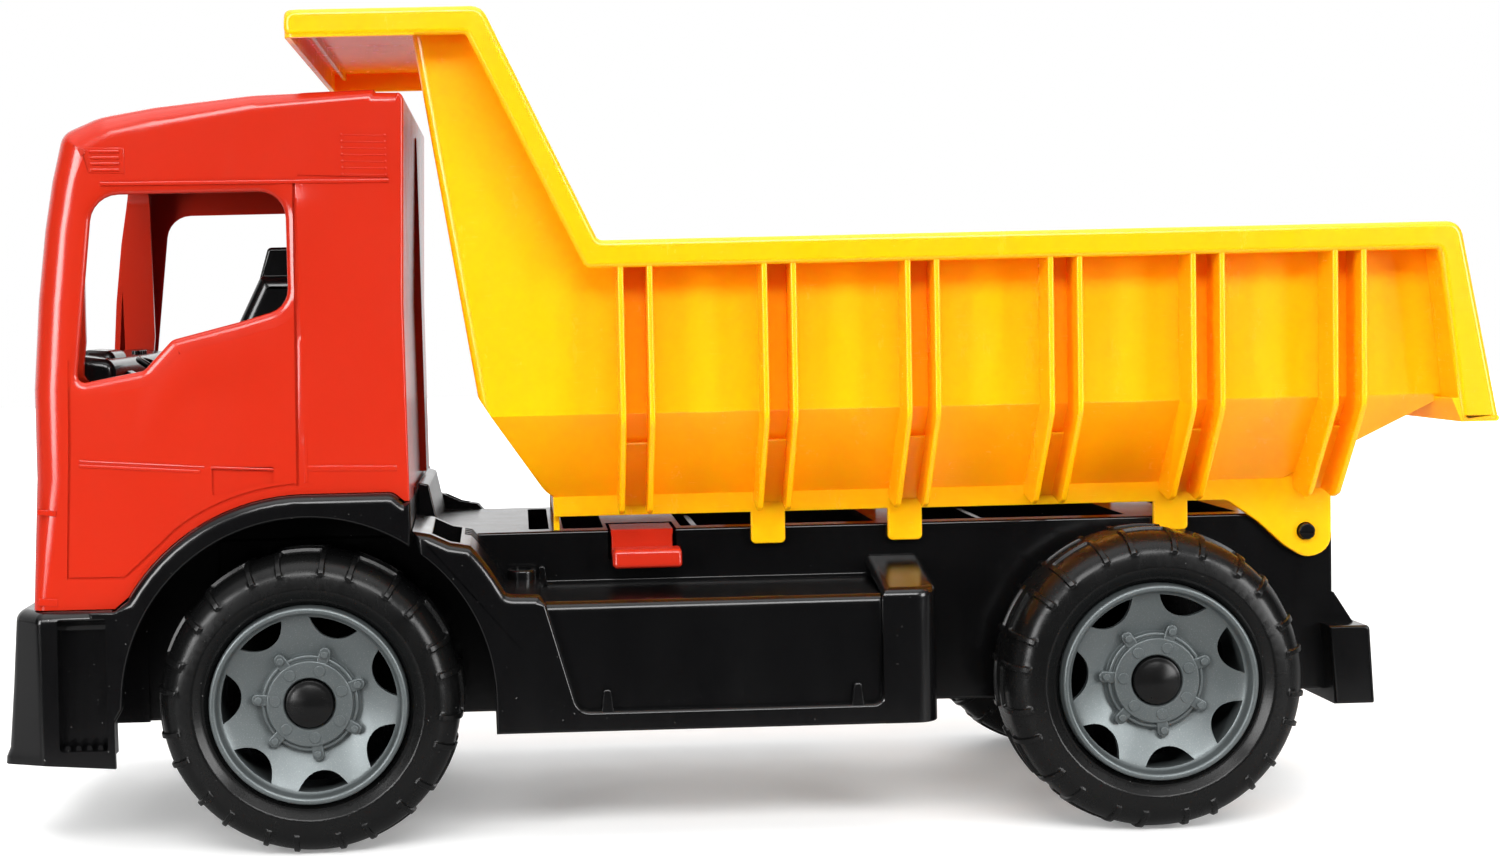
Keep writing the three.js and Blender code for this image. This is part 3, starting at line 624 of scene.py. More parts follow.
def cab_sunk_details():
    """The door's lines and the pocket of its grip."""
    door = [(-95.4, 209), (-96.5, 170), (-99, 118.5), (-75.5, 118), (-60.4, 131.4),
            *wheel_arc(ARCH_OUTER + 4.2, 131, 93, 8)[1:], (-3.9, 155.5)]
    pocket = [(-38.2, 163), (-38.2, 151.5, 0.8), (-12.6, 156.4), (-12.6, 163, 0.8)]
    return [
        groove(door, 1.2, 0.7),
        groove([(-2.6, 154.5), (-0.6, 281)], 1.3, 0.9),
        groove([(1.0, 283), (38.5, 281.2)], 0.9, 0.5),
        slab(pocket, -CAB_HALF - 3, -CAB_HALF + 0.9),
    ]


def cab_raised_details():
    """The drip rail, the door's edges, the beads, the vent and the ruled panel of the left side."""
    strips = [side_strip(*numbers) for numbers in (
        (-80, 281.4, 38.6, 280.2, 1.5, 0.55),
        (0.9, 156, 2.2, 279.5, 1.6, 0.5),
        (-92.6, 165.2, -43.0, 161.6, 1.3, 0.5),
        (-92.6, 167.2, -41.0, 163.5, 0.7, 0.3),
        (-38.2, 163.2, -12.6, 161.8, 0.9, 0.5),
        (1.6, 161.9, 38.6, 161.0, 2.2, 0.45),
        (-110.5, 146.5, -103, 145.6, 2.4, 0.5),
        (-111.3, 109.0, -103.5, 108.4, 3.0, 0.5),
    )]
    vent = slab([(-84.8, 286), (-70, 285.4), (-70, 296), (-84.8, 296.4)], -CAB_HALF - 0.35, -CAB_HALF + 2,
                soft=(0.3, 0), steps=2)
    louvres = [side_strip(-83.8, 287.2 + 2.5 * k, -72, 287.0 + 2.5 * k, 1.1, 0.9) for k in range(4)]
    dots = [
        rod((x, z + 2.7 * k), 0.55, -CAB_HALF - 0.45, -CAB_HALF + 1, quarter=3)
        for k in range(7) for x, z in ((19.6, 283.2), (37.4, 282.6))
    ]
    rulings = [side_strip(20.5, 283.2 + 2.7 * k, 36.6, 282.6 + 2.7 * k, 0.5, 0.16) for k in range(7)]
    return [*strips, vent, *louvres, gathered(dots), gathered(rulings)]


def cab_shell():
    shell = bulge(cab_outer())
    cut(shell, both(mouth(SIDE_WINDOW, -CAB_HALF, 2.4, 6.5)))
    for detail in cab_sunk_details():
        cut(shell, both(detail))
    cut(shell, cab_inner())
    foot, tail = BASE_TOP + FIT, TAIL_LOW + FIT
    wheel_cut = [*wheel_arc(ARCH_OUTER + FIT, 90, 148, 16), (-80, foot), (-125, foot), (-125, 20), (90, 20),
                 (90, tail), (41.4, tail, 0.6), (36.8, AXLE_Z + ARCH_OUTER + FIT, 5)]
    # A turned-in flange round the windscreen opening, as seen through the side windows.
    flange = [(-93.5, 196.5, 9), (93.5, 196.5, 9), (88.5, 292.5, 11), (-88.5, 292.5, 11)]
    flange = common(slab(flange, -106, -91, "x"), cab_outer())
    cut(flange, slab(WINDSCREEN, -130, -86, "x"))
    join(shell, flange)
    cut(shell, slab(SIDE_WINDOW, -130, 130), slab(WINDSCREEN, -130, -86, "x"), slab(wheel_cut, -130, 130))
    for detail in cab_raised_details():
        join(shell, both(detail))
    # A tapering stiffener runs down the middle of the rear wall.
    join(shell, slab([(42, 152), (46.4, 152), (45.8, 306, 1), (42, 307)], 4, 18))
    # Raised slats stand on the nose under the windscreen.
    for k in range(5):
        z = 128 + 11 * k
        slat = [(-46, z), (46, z), (46, z + 5, 1), (-46, z + 5, 1)]
        join(shell, slab(slat, -116 + 0.03 * (z - 60), -105, "x", soft=(0.8, 0), steps=2))
    return piece(shell, "cab_shell", "red", "truck", edge=0.3)


cab_shell()

# ------------------------------------------------------------------ cab base

CHASSIS_HALF = 62.5
CHASSIS_FRONT = -78
DECK_TOP = 128.7
BASE_HALF = 112
WELL_SIDE = CHASSIS_HALF + FIT
FLOOR_LOW = DECK_TOP + FIT
NOSE_TOP = -123.6
NOSE_FOOT = 39
SCREW_HOLE = 1.8
BASE_SCREWS = [(x, y) for x in (-58, 26) for y in (-38, 38)]


def foot_rise(x, z):
    """The bumper's foot climbs a little from the wheel arch to its front corner."""
    if z > 45:
        return 0.0
    return 2.2 * (x + 81) / -32 if x > -113 else 2.2 + 1.5 * (x + 113) / 17


def nose_form(inset, low, high, top_radius):
    """The bumper's plan outline stacked up in height: a lip at the foot, a slight lean, a soft top edge."""
    front = ((NOSE_FOOT, -130.2), (42, -129.9), (46.5, -128.2), (72, -125.8))
    rear = -78 if inset else -81
    levels = [(z, x, 0.0) for z, x in front] + [(high - top_radius, NOSE_TOP, 0.0)]
    if low < NOSE_FOOT:
        levels.insert(0, (low, -130.2, 0.0))
    for k in range(1, 7):
        turn = math.radians(15 * k)
        levels.append((high - top_radius * (1 - math.sin(turn)), NOSE_TOP, top_radius * (1 - math.cos(turn))))
    rings = []
    for z, x, more in levels:
        d = inset + more
        loop = clean(rounded([
            (x + d, -97 + d * 0.4, 9), (-111.4 + d * 0.55, -BASE_HALF + d, 4), (rear, -BASE_HALF + d),
            (rear, BASE_HALF - d), (-111.4 + d * 0.55, BASE_HALF - d, 4), (x + d, 97 - d * 0.4, 9),
        ]), 1e-5)
        rings.append([(p.x, p.y, z + foot_rise(p.x, z)) for p in loop])
    return loft(rings)


def arch_softness(x, z):
    """The wheel arch's outer rim is round and its inner lip only softened."""
    return 4.5 if math.hypot(x, z - AXLE_Z) > 83 and z > 108 and x < 43 else 1.3


def bumper_step():
    """The hollow of the step in the bumper's left end."""
    return slab([(-103.9, 46.6, 1.5), (-83.9, 46.6, 1.5), (-83.3, 102, 1), (-103.3, 102, 1)],
                -BASE_HALF + 9, -BASE_HALF - 5)


def cab_base():
    rear = CAB_REAR
    wall_rear = CHASSIS_FRONT - FIT
    wall_front = wall_rear - WALL
    nose = nose_form(0, NOSE_FOOT, BASE_TOP, 5)
    cut(nose, nose_form(WALL, 30, BASE_TOP - WALL, 2.6),
        box(-95, -40, -WELL_SIDE, WELL_SIDE, 30, BASE_TOP - WALL),
        box(-81, -40, -WELL_SIDE, WELL_SIDE, 30, BASE_TOP + 1))
    ring = [
        *wheel_arc(ARCH_OUTER, 90, 149, 24), (-79.3, BASE_TOP - 0.4, 3), (-90, BASE_TOP - 0.4), (-90, 39.5),
        (-83.2, 39.5, 1.5), (-82.2, 56, 8), *wheel_arc(ARCH_INNER, 180, 56, 40), (rear, 137),
        (rear, TAIL_LOW), (41.2, TAIL_LOW, 0.6), (36.6, AXLE_Z + ARCH_OUTER, 5),
    ]
    hollow = [*wheel_arc(ARCH_OUTER - WALL, 90, 146, 16), (-94, BASE_TOP - 3), (-94, 20), (70, 20),
              (70, AXLE_Z + ARCH_OUTER - WALL)]
    arch = slab(ring, -WELL_SIDE, -BASE_HALF, soft=(0, arch_softness), steps=6)
    cut(arch, slab(hollow, -WELL_SIDE - WALL, -BASE_HALF + WALL))
    well = [(rear, AXLE_Z + 86), *wheel_arc(86, 90, 130, 6), (rear, FLOOR_LOW)]
    join(arch, slab(well, -WELL_SIDE, -WELL_SIDE - WALL))
    cut(arch, box(-95, -70, -WELL_SIDE + 1, -WELL_SIDE - WALL - 1, 30, 50))
    join(arch, box(-92, -74, -WELL_SIDE, -WELL_SIDE - WALL, 50, 84))
    join(nose, both(arch))
    join(
        nose,
        box(wall_front, rear, -WELL_SIDE - 1, WELL_SIDE + 1, FLOOR_LOW, FLOOR_LOW + WALL),
        box(wall_front, wall_rear, -WELL_SIDE - 1, WELL_SIDE + 1, BASE_TOP - WALL, FLOOR_LOW + 1),
        box(-104, -79.3, -WELL_SIDE - 4, WELL_SIDE + 4, BASE_TOP - WALL, BASE_TOP),
        both(box(wall_front, -42, -WELL_SIDE, -WELL_SIDE - WALL, BASE_TOP - WALL, FLOOR_LOW + WALL)),
        box(rear - WALL, rear, -BASE_HALF + 5, BASE_HALF - 5, FLOOR_LOW, TAIL_LOW),
    )
    # A step is sunk into each end of the bumper, with upright grip teeth on its tread.
    join(nose, both(box(-105.6, -81.4, -BASE_HALF + 10.6, -BASE_HALF + 2, 44.5, 103.5)))
    cut(nose, both(bumper_step()))
    brow = [(-102.5, 93), (-103, 96), (-104.3, 98.6), (-106.6, 100.4), (-110.6, 101, 1.2), (-110.6, 103),
            (-102.5, 103)]
    join(nose, both(slab(brow, -103.4, -84, "x")))
    for k in range(4):
        x = -100.8 + 4.5 * k
        tooth = [(x - 1.3, 46), (x + 1.3, 46), (x + 0.9, 48.9, 0.7), (x - 0.9, 48.9, 0.7)]
        join(nose, both(slab(tooth, -BASE_HALF + 9.5, -BASE_HALF + 1.5, soft=(0.5, 0), steps=2)))
    # A plain grille of slots and a lamp at each side.
    for k in range(4):
        z = 58 + 9 * k
        slot = [(-48, z), (48, z), (48, z + 4, 1), (-48, z + 4, 1)]
        cut(nose, slab(slot, -134, -125.6 + 0.09 * (z - 58), "x"))
    cut(nose, both(slab(rectangle(-90, -64, 70, 88, 3), -134, -123, "x")))
    join(nose, both(slab(rectangle(-88, -66, 72, 86, 2), -124.5, -116, "x", soft=(2, 0))))
    cut(nose, gathered([rod(place, SCREW_HOLE, 120, 140, "z") for place in BASE_SCREWS]))
    return piece(nose, "cab_base", "black", "truck")


# ------------------------------------------------------------------ chassis

HINGE, PIN_RADIUS = (434, 120.7), 3.5
LATCH_X = (129, 156)
SKIRT_SCREWS = ((150, 84), (235, 84))
AXLE_HOLE = 3.3
CROSS_WALLS = (88, 168, 300, 412)
DECK_OPENINGS = ((93, 102), (108, 126), (160, 246), (262, 358), (384, 408))


def chassis_frame():
    inner = CHASSIS_HALF - 3
    low, high = DECK_TOP - 4, DECK_TOP + 1
    side = [(CHASSIS_FRONT, 50), (447, 50), (447, DECK_TOP, 10), (CHASSIS_FRONT, DECK_TOP)]
    chassis = slab(side, -CHASSIS_HALF, CHASSIS_HALF, soft=1.2)
    cut(chassis, box(-75, 444, -inner, inner, 40, DECK_TOP - 3))
    join(chassis, gathered([
        box(x, x + WALL, -inner - 0.5, inner + 0.5, 96, DECK_TOP - 1) for x in CROSS_WALLS
    ]))
    join(chassis, gathered([rod(place, 4, 112, DECK_TOP - 1, "z") for place in BASE_SCREWS]))
    foot = DECK_TOP - 1
    upright = [(44.4, foot), (53.5, foot), (53, 132, 6), (49.3, 149.5, 1.5), (44.6, 150.5, 0.8)]
    join(chassis, slab(upright, -48, 48, soft=0.8))
    bar = slab([(444, 45), (461.5, 45, 1), (459.5, 79.5, 2), (441.5, 79.5)], -74, 74, soft=1.5)
    cut(bar, box(447.5, 457, -74 + WALL, 74 - WALL, 44, 77))
    join(chassis, bar)
    gusset = [(444, 78), (457, 78), (447.5, 93), (444, 93)]
    join(chassis, both(slab(gusset, -CHASSIS_HALF, -CHASSIS_HALF + WALL)))
    for x0, x1 in DECK_OPENINGS:
        cut(chassis, slab(rectangle(x0, x1, -52, 52, 2), low, high, "z"))
    # The latch slides in a notch through the deck's edge and the side below it.
    x0, x1 = LATCH_X[0] - 1.5, LATCH_X[1] + 1.5
    cut(chassis, box(x0, x1, -CHASSIS_HALF - 1, -30, DECK_TOP - 3, high),
        box(x0, x1, -CHASSIS_HALF - 1, -57, 115.5, high))
    holes = [(HINGE, PIN_RADIUS + FIT), ((0, AXLE_Z), AXLE_HOLE), ((WHEELBASE, AXLE_Z), AXLE_HOLE)]
    holes += [(place, SCREW_HOLE) for place in SKIRT_SCREWS]
    cut(chassis, gathered([rod(place, radius, -70, 70) for place, radius in holes]))
    cut(chassis, gathered([rod(place, SCREW_HOLE, 100, DECK_TOP + 5, "z") for place in BASE_SCREWS]))
    # A round boss stands proud round each axle.
    face = -CHASSIS_HALF + 0.5
    boss = [(4.2, face), (4.2, -66.2), (8.5, -66.2), (9.4, -65.4), (9.4, face)]
    for x in (0, WHEELBASE):
        join(chassis, both(lathe(boss, x, AXLE_Z, 32)))
    return piece(chassis, "chassis_frame", "black", "truck")


# ------------------------------------------------------------------ side skirts


def skirt_softness(x, z):
    """Round along the fender's crown, only eased elsewhere."""
    if z < 52 or math.hypot(x, z - AXLE_Z) < 79:
        return 1.0
    if x < 98 and z > 103:
        return 4.5
    return 1.6


def raised_inward(obj, slope, above):
    """Lets the tops of a left-hand solid climb towards the chassis."""
    for v in obj.data.vertices:
        if v.co.z > above:
            v.co.z += slope * (v.co.y + BASE_HALF)
    return obj


LEDGE = 102.6
END_FACE = 239.6
RECESS = 4.5


def tool_box_end(inset):
    """The taller block behind the tool box, rounded along its upright rear corner."""
    plan = [(240, -WELL_SIDE - inset), (264 - inset, -WELL_SIDE - inset),
            (263.5 - inset, -BASE_HALF + inset, 10 - inset), (240, -BASE_HALF + inset)]
    block = slab(plan, 49 - 9 * inset, 105.4 - inset, "z", soft=(0.6, 3.5 - inset))
    return raised_inward(block, 0.13, 60)


def side_skirt(s):
    """The rear half of a front fender and the tool box behind it, for the side s."""
    inner, outer = -WELL_SIDE, -BASE_HALF
    face = [
        (77.5, 49), (250, 49), (250, 66), (END_FACE, 66), (END_FACE, 57.5, 4), (112, 57.5, 6),
        (99.3, LEDGE, 2), (97, 106.6, 3), (84.5, 107, 6), *wheel_arc(93.5, 28, 43, 8), (60, 129.2), (52, 133),
        (CAB_REAR + 0.5, 134.5), *wheel_arc(ARCH_INNER, 52, -4, 24),
    ]
    body = slab(face, inner, outer, soft=(0, skirt_softness), steps=6)
    end_block = tool_box_end(0)
    cut(end_block, slab(rectangle(236, END_FACE, 57.5, 120), outer + RECESS, outer - 5))

    def at_recess(low, high):
        return max(abs(low.x - END_FACE), abs(high.x - END_FACE)) < 0.1 and low.y < 0.1 + outer

    bevelled(end_block, 0.9, angle=60, segments=3, among=at_recess)
    tool_box = slab(rectangle(96, 242, 50, LEDGE), inner, outer + RECESS, soft=(0, 4), steps=6)
    join(body, tool_box, end_block)
    hollow = [(80, 44), (243, 44), (242, LEDGE - WALL), (96, LEDGE - WALL), (95, 104.2), (85.5, 104.2),
              *wheel_arc(91, 28, 48, 6), (CAB_REAR - 3, 134.3), *wheel_arc(ARCH_INNER + WALL, 54, -6, 16)]
    cut(body, slab(hollow, inner - WALL, outer + 7.2), tool_box_end(WALL))
    open_arch = [*wheel_arc(ARCH_INNER + 0.01, 60, -14, 16), (60, 40), (30, 40), (30, 110)]
    cut(body, slab(open_arch, inner - WALL, outer + WALL))
    # Four wide grooves run along the fender's crown beside the chassis, with thin fins between them.
    for k in range(4):
        y = -65.8 - 4.4 * k
        cut(body, slab([*wheel_arc(97, 24, 48.6, 12), *wheel_arc(91.7, 48.6, 24, 12)], y, y - 3.2))
    # Two small lugs stand on the foot of the recess.
    for x in (124, 229):
        lug = [(x - 2.8, 56.5), (x + 2.8, 56.5), (x + 1.5, 66.5, 1), (x - 1.5, 66.5, 1)]
        join(body, slab(lug, outer + 4, outer + 0.4, soft=(0, 0.8), steps=2))
    # A fixing boss and a rib stand on the ledge, with a low kerb along it where it meets the chassis.
    place = (89.5, -71.5)
    boss = rod(place, 6.4, 104, 111, "z", soft=1)
    cut(boss, rod(place, 4.2, 109.8, 119, "z"), rod(place, 2.2, 106, 119, "z"))
    rib = slab([(97, 103), (100.5, 103), (99.5, 111, 1), (97, 111, 1)], inner - 1, inner - 6,
               soft=(0, 0.5), steps=2)
    join(body, boss, rib)
    raised_inward(body, 0.07, 98)
    kerb = [(98, LEDGE + 1), (241, LEDGE + 1), (241, LEDGE + 4.9, 0.6), (98, LEDGE + 4.9, 0.6)]
    join(body, slab(kerb, inner, inner - 3, soft=(0, 0.5), steps=2))
    for place in SKIRT_SCREWS:
        join(body, rod(place, 4, inner, -78))
        cut(body, rod(place, SCREW_HOLE, -60, -76))
    if s > 0:
        mirrored(body)
    return piece(body, f"{SIDE_NAME[s]}_side_skirt", "black", "truck")


# ------------------------------------------------------------------ tipper tub

TUB_HALF = 99
TUB_FLOOR_HALF = 63
RIM_HALF = 118
RIM_TOP = 253.5
RIM_BAND = 11.5
RIM_SOFT = 2.6
STRIP_LOW = 135.3
CANOPY_FRONT = -2
CANOPY_TOP = 350
CREASE = 181
TUB_FLOOR = 141
TUB_FRONT_TOP = 49
FLOOR_FRONT, FLOOR_REAR, RAMP_END = 104, 419, 484
SLOPE_TOP, SLOPE_FOOT = 82.8, 124.2
REAR_TOP, REAR_LIP, LIP_LOW = 484, 498, 170
RIB_FIRST, RIB_PITCH, RIB_GAP, RIB_PAIRS = 133, 59.3, 12, 6


def tub_form(inset, radius):
    """The tub as a solid block with rounded edges, open above and behind for trimming."""
    floor = TUB_FLOOR + inset
    side = slab([
        (TUB_FRONT_TOP + inset * 1.02 - 12, 420), (73 + inset, CREASE + 8),
        (FLOOR_FRONT + inset * 0.6, floor), (FLOOR_REAR, floor),
        (RAMP_END + 60, 217.5 + inset), (RAMP_END + 60, 420),
    ], -130, 130)
    half = TUB_HALF - inset
    low = TUB_FLOOR_HALF - inset * 0.4
    cross = [(-low, floor), (low, floor), (half, CREASE), (half, 430), (-half, 430), (-half, CREASE)]
    common(side, slab(cross, -20, 600, "x"))

    def upper_front(low, high):
        return high.z > CREASE + 20 and high.x < 100

    def lower_front(low, high):
        return high.z < floor + 1 and high.x < 112

    def lower_side(low, high):
        return low.z < CREASE + 10

    bevelled(side, radius, angle=8, segments=5, among=upper_front)
    bevelled(side, radius * 1.5, angle=8, segments=5, among=lower_front)
    return bevelled(side, radius * 0.4, angle=14, segments=3, among=lower_side)


def tub_shell():
    shell = tub_form(0, 6)
    trim = slab([
        (-60, 100), (RAMP_END - 43, 100), (RAMP_END - 3, CREASE - 3), (REAR_TOP - 10, RIM_TOP - 1),
        (SLOPE_FOOT - 2, RIM_TOP - 1), (SLOPE_TOP - 5, CANOPY_TOP - 1), (-60, CANOPY_TOP - 1),
    ], -140, 140)
    return common(shell, trim)


def tub_rim():
    """The turned-down band round the canopy, the slopes and the level rims."""
    band = [
        (CANOPY_FRONT, CANOPY_TOP, 5), (SLOPE_TOP - 4, CANOPY_TOP, 7), (SLOPE_FOOT, RIM_TOP, 3),
        (REAR_TOP - 2, RIM_TOP, 7), (REAR_LIP, LIP_LOW, 2.5), (REAR_LIP - 16, LIP_LOW, 1),
        (REAR_TOP - 11, RIM_TOP - RIM_BAND, 2), (SLOPE_FOOT - 5.5, RIM_TOP - RIM_BAND, 4),
        (72, CANOPY_TOP - RIM_BAND, 2), (CANOPY_FRONT, CANOPY_TOP - RIM_BAND, 4),
    ]
    wall = TUB_HALF - WALL
    rim = slab(band, -wall, -RIM_HALF, soft=(0, RIM_SOFT), steps=5)
    under = [
        (CANOPY_FRONT - 5, CANOPY_TOP - WALL), (SLOPE_TOP - 7, CANOPY_TOP - WALL, 5),
        (SLOPE_FOOT - 2.2, RIM_TOP - WALL, 3), (REAR_TOP - 10, RIM_TOP - WALL, 4),
        (REAR_LIP - 13, LIP_LOW - 5), (REAR_LIP - 40, LIP_LOW - 5), (REAR_TOP - 30, 200), (60, 200),
        (60, CANOPY_TOP - 20), (CANOPY_FRONT - 5, CANOPY_TOP - 20),
    ]
    cut(rim, slab(under, -wall + 5, -RIM_HALF + WALL))
    rear_plate = [(REAR_TOP - 11, RIM_TOP - 1), (REAR_TOP - 11 + WALL, RIM_TOP - 1),
                  (REAR_LIP - 16 + WALL, LIP_LOW), (REAR_LIP - 16, LIP_LOW)]
    join(rim, slab(rear_plate, -wall, -RIM_HALF + 1))
    return both(rim)


def canopy():
    """The canopy's plate over the cab, with a turned-down front and a lip behind it."""
    half, rear = RIM_HALF - 0.5, TUB_FRONT_TOP + 2
    plan = [(CANOPY_FRONT, -half, 4), (rear, -half), (rear, half), (CANOPY_FRONT, half, 4)]
    top = slab(plan, CANOPY_TOP - RIM_BAND, CANOPY_TOP, "z", soft=(0.3, RIM_SOFT), steps=5)
    cut(top, box(CANOPY_FRONT + WALL, rear + 8, -half + WALL, half - WALL, 330, CANOPY_TOP - WALL))
    front, wide = CANOPY_FRONT + 7, RIM_HALF - 6
    return join(top, box(front, front + 1.6, -wide, wide, CANOPY_TOP - 6, CANOPY_TOP - 1))


def rear_sill():
    """The floor's rear edge, from the ramp down to the lip."""
    plate = [(RAMP_END - 6, CREASE - 1), (RAMP_END - 3, CREASE - 1), (REAR_LIP - 13, LIP_LOW),
             (REAR_LIP - 16, LIP_LOW)]
    lip = [(REAR_LIP - 15, LIP_LOW), (REAR_LIP, LIP_LOW, 1.2), (REAR_LIP - 0.4, LIP_LOW + WALL, 1),
           (REAR_LIP - 15, LIP_LOW + WALL)]
    return join(*(slab(outline, -RIM_HALF + 1, RIM_HALF - 1) for outline in (plate, lip)))


def tub_ribs():
    """The ribs down the tub's sides, in pairs that a web joins at the foot."""
    edge = RIM_HALF - 1.2
    outline = [(-TUB_HALF + 1, RIM_TOP - 1.5), (-edge, RIM_TOP - 1.5), (-edge, 178, 8), (-85, 138.6, 3),
               (-79.5, 136.8, 3), (-57, 141.5), (-TUB_HALF + 1, CREASE)]
    foot = [(-84, 168.3), (-91.5, 168.3, 0.6), (-66.5, 139.4, 1), (-60, 141.5)]
    ribs = []
    for i in range(RIB_PAIRS):
        x = RIB_FIRST + i * RIB_PITCH
        first, second = (slab(outline, start, start + 2.4, "x", soft=0.7, steps=3)
                         for start in (x - 1.1, x + RIB_GAP - 1.1))
        ribs.append(join(first, slab(foot, x, x + RIB_GAP, "x"), second))
    return both(gathered(ribs))


def tub_underside():
    """The hinge ears, the strips beside the chassis and the tabs that guide the tub onto it."""
    inner = CHASSIS_HALF + 1

    def plate(points, soft=0.8):
        return slab(points, -inner, -inner - WALL, soft=(0, soft), steps=3)

    ear = plate([
        (392, 144), (392, STRIP_LOW), (399.5, 135, 6), (413, 125.4), (424.5, 114.6, 9), (434, 108.6, 9),
        (445.5, 112, 9), (445.5, 146), (448.4, 154), (440, 160), (400, 148),
    ])
    join(ear, plate(rectangle(FLOOR_FRONT, 400, STRIP_LOW, 144), 0.4))
    for x, low in ((190, 121.3), (250, 121.3), (367, 122.6)):
        join(ear, plate([(x, 144), (x, low, 2.2), (x + 15, low, 2.2), (x + 15, 144)]))
    join(ear, box(FLOOR_FRONT, 420, -58, -inner - WALL, TUB_FLOOR, TUB_FLOOR + 3),
         box(FLOOR_FRONT, FLOOR_FRONT + WALL, -54, -62, DECK_TOP + FIT, 138))
    cut(ear, rod(HINGE, PIN_RADIUS + 0.5, -80, 80))
    return both(ear)


def tipper_tub():
    tub = tub_shell()
    join(tub, tub_rim(), canopy(), rear_sill(), tub_ribs(), tub_underside(),
         box(FLOOR_FRONT, FLOOR_FRONT + WALL, -64, 64, STRIP_LOW, 144))
    cut(tub, tub_form(WALL, 4))
    return piece(tub, "tipper_tub", "yellow", "tipper", edge=0.3, smooth=38)


def tipper_latch():
    """The pull slide: a plate in the deck's notch, a neck down the side and a handle with a finger lip."""
    x0, x1 = LATCH_X
    low = DECK_TOP - 2.7
    outer = -CHASSIS_HALF - 5
    latch = box(x0, x1, -61, -34, low, low + 2.5)
    handle = slab([
        (-61, low + 2), (-59, low + 2), (-59, 117.4), (outer + 3.4, 117), (outer - 5.4, 113.4, 1.2),
        (outer - 7.6, 114.4, 1.2), (outer - 5.2, 119.9, 2.2), (outer + 0.5, 121.0, 1.4),
        (outer + 4.0, 121.2, 0.6), (outer + 5, 119.8), (-61, 119.6),
    ], x0, x1, "x", soft=0.9, steps=3)
    lip = slab([
        (outer - 1, 116), (outer - 5.6, 112.6, 1), (outer - 8.3, 113.4, 1.6), (outer - 7.4, 120.8, 2.2),
        (outer - 1, 121.6),
    ], x0 + 0.4, x1 + 3, "x", soft=1.6)
    join(latch, handle, lip)
    return piece(latch, "tipper_latch", "red", "latch")


def hinge_pin(s):
    """A pin with a head inside the chassis and a slot across its outer end."""
    x, z = HINGE
    pin = rod(HINGE, PIN_RADIUS, -57.5, -68.9, soft=0.6, quarter=8)
    join(pin, rod(HINGE, PIN_RADIUS + 1.2, -57, -59.2, quarter=8))
    cut(pin, slab(rectangle(x - 4, x + 4, z - 0.9, z - 0.2), -68, -70))
    if s > 0:
        mirrored(pin)
    return piece(pin, f"{SIDE_NAME[s]}_hinge_pin", "cap", "truck", edge=0.15)


# ------------------------------------------------------------------ cab interior

SEAT_Y = 50


def seat_bench():
    bench = box(-56, -2, -70, 70, 152.5, 157, soft=1)
    join(bench, box(-50, 0, -30, 30, FLOOR_LOW + WALL + FIT, 155))
    cushion = [(-60, 153, 3), (4, 153), (4, 172), (-52, 172, 8), (-60, 168, 4)]
    back = [(-46, 168), (-8, 168), (2, 243, 5), (-19.5, 243, 3), (-30, 222, 30)]
    headrest = [(-21, 240), (0, 240), (1, 255, 3), (-16.5, 255, 2)]
    for y in (-SEAT_Y, SEAT_Y):
        for outline, half, soft in ((cushion, 24, 4), (back, 24, 6), (headrest, 17, 1.5)):
            join(bench, slab(outline, y - half, y + half, soft=soft))
    return piece(bench, "seat_bench", "black", "truck", edge=0.5)


STEERING = Vector((-66, -SEAT_Y, 203))
STEERING_TILT = Matrix.Rotation(math.radians(27), 4, "Y")


def on_column(obj):
    obj.data.transform(Matrix.Translation(STEERING) @ STEERING_TILT)
    return obj


def dashboard():
    """The dashboard on its pillar, with a hood, four knobs and the column's mounting."""
    outline = [(-105, 194), (-83, 190, 3), (-80, 196, 2), (-80.5, 208.5, 5), (-101, 211.5, 4)]
    dash = slab(outline, -88, 88, soft=4)
    join(dash, box(-105, -94, -22, 22, BASE_TOP + FIT, 200, soft=1))
    hood = [(-98, 205), (-84, 205), (-83.5, 212, 4), (-98, 213, 3)]
    join(dash, slab(hood, -SEAT_Y - 16, -SEAT_Y + 16, soft=3))
    for k in range(4):
        join(dash, rod((-87, 9 + 6 * k), 2, 207, 211, "z", soft=0.5, quarter=5))
    join(dash, on_column(box(-16, 4, -6, 6, -11.5, -6.5)))
    cut(dash, on_column(rod((0, 0), 2, -15, -3, "z")))
    return piece(dash, "dashboard", "black", "truck", edge=0.4)


def steering_wheel():
    """A thin rim on three spokes and a short column."""
    bm = bmesh.new()
    major, minor, around, about = 11, 1.5, 48, 12
    rings = []
    for k in range(around):
        a = 2 * math.pi * k / around
        ring = []
        for m in range(about):
            b = 2 * math.pi * m / about
            reach = major + minor * math.cos(b)
            ring.append(bm.verts.new((reach * math.cos(a), reach * math.sin(a), minor * math.sin(b))))
        rings.append(ring)
    for k in range(around):
        for m in range(about):
            n = (m + 1) % about
            bm.faces.new((rings[k - 1][m], rings[k][m], rings[k][n], rings[k - 1][n]))
    wheel = new_object(bm)
    join(wheel, rod((0, 0), 3.2, -1.5, 1.6, "z", soft=0.7))
    for turn in (90, 210, 330):
        spoke = slab(rectangle(0, 10.8, -1.3, 1.3), -0.8, 0.8, "z", soft=0.3, steps=2)
        spoke.data.transform(Matrix.Rotation(math.radians(turn), 4, "Z"))
        join(wheel, spoke)
    join(wheel, rod((0, 0), 1.6, -12.5, -1, "z"))
    on_column(wheel)
    return piece(wheel, "steering_wheel", "black", "steering", edge=0.15)


# ------------------------------------------------------------------ wheels

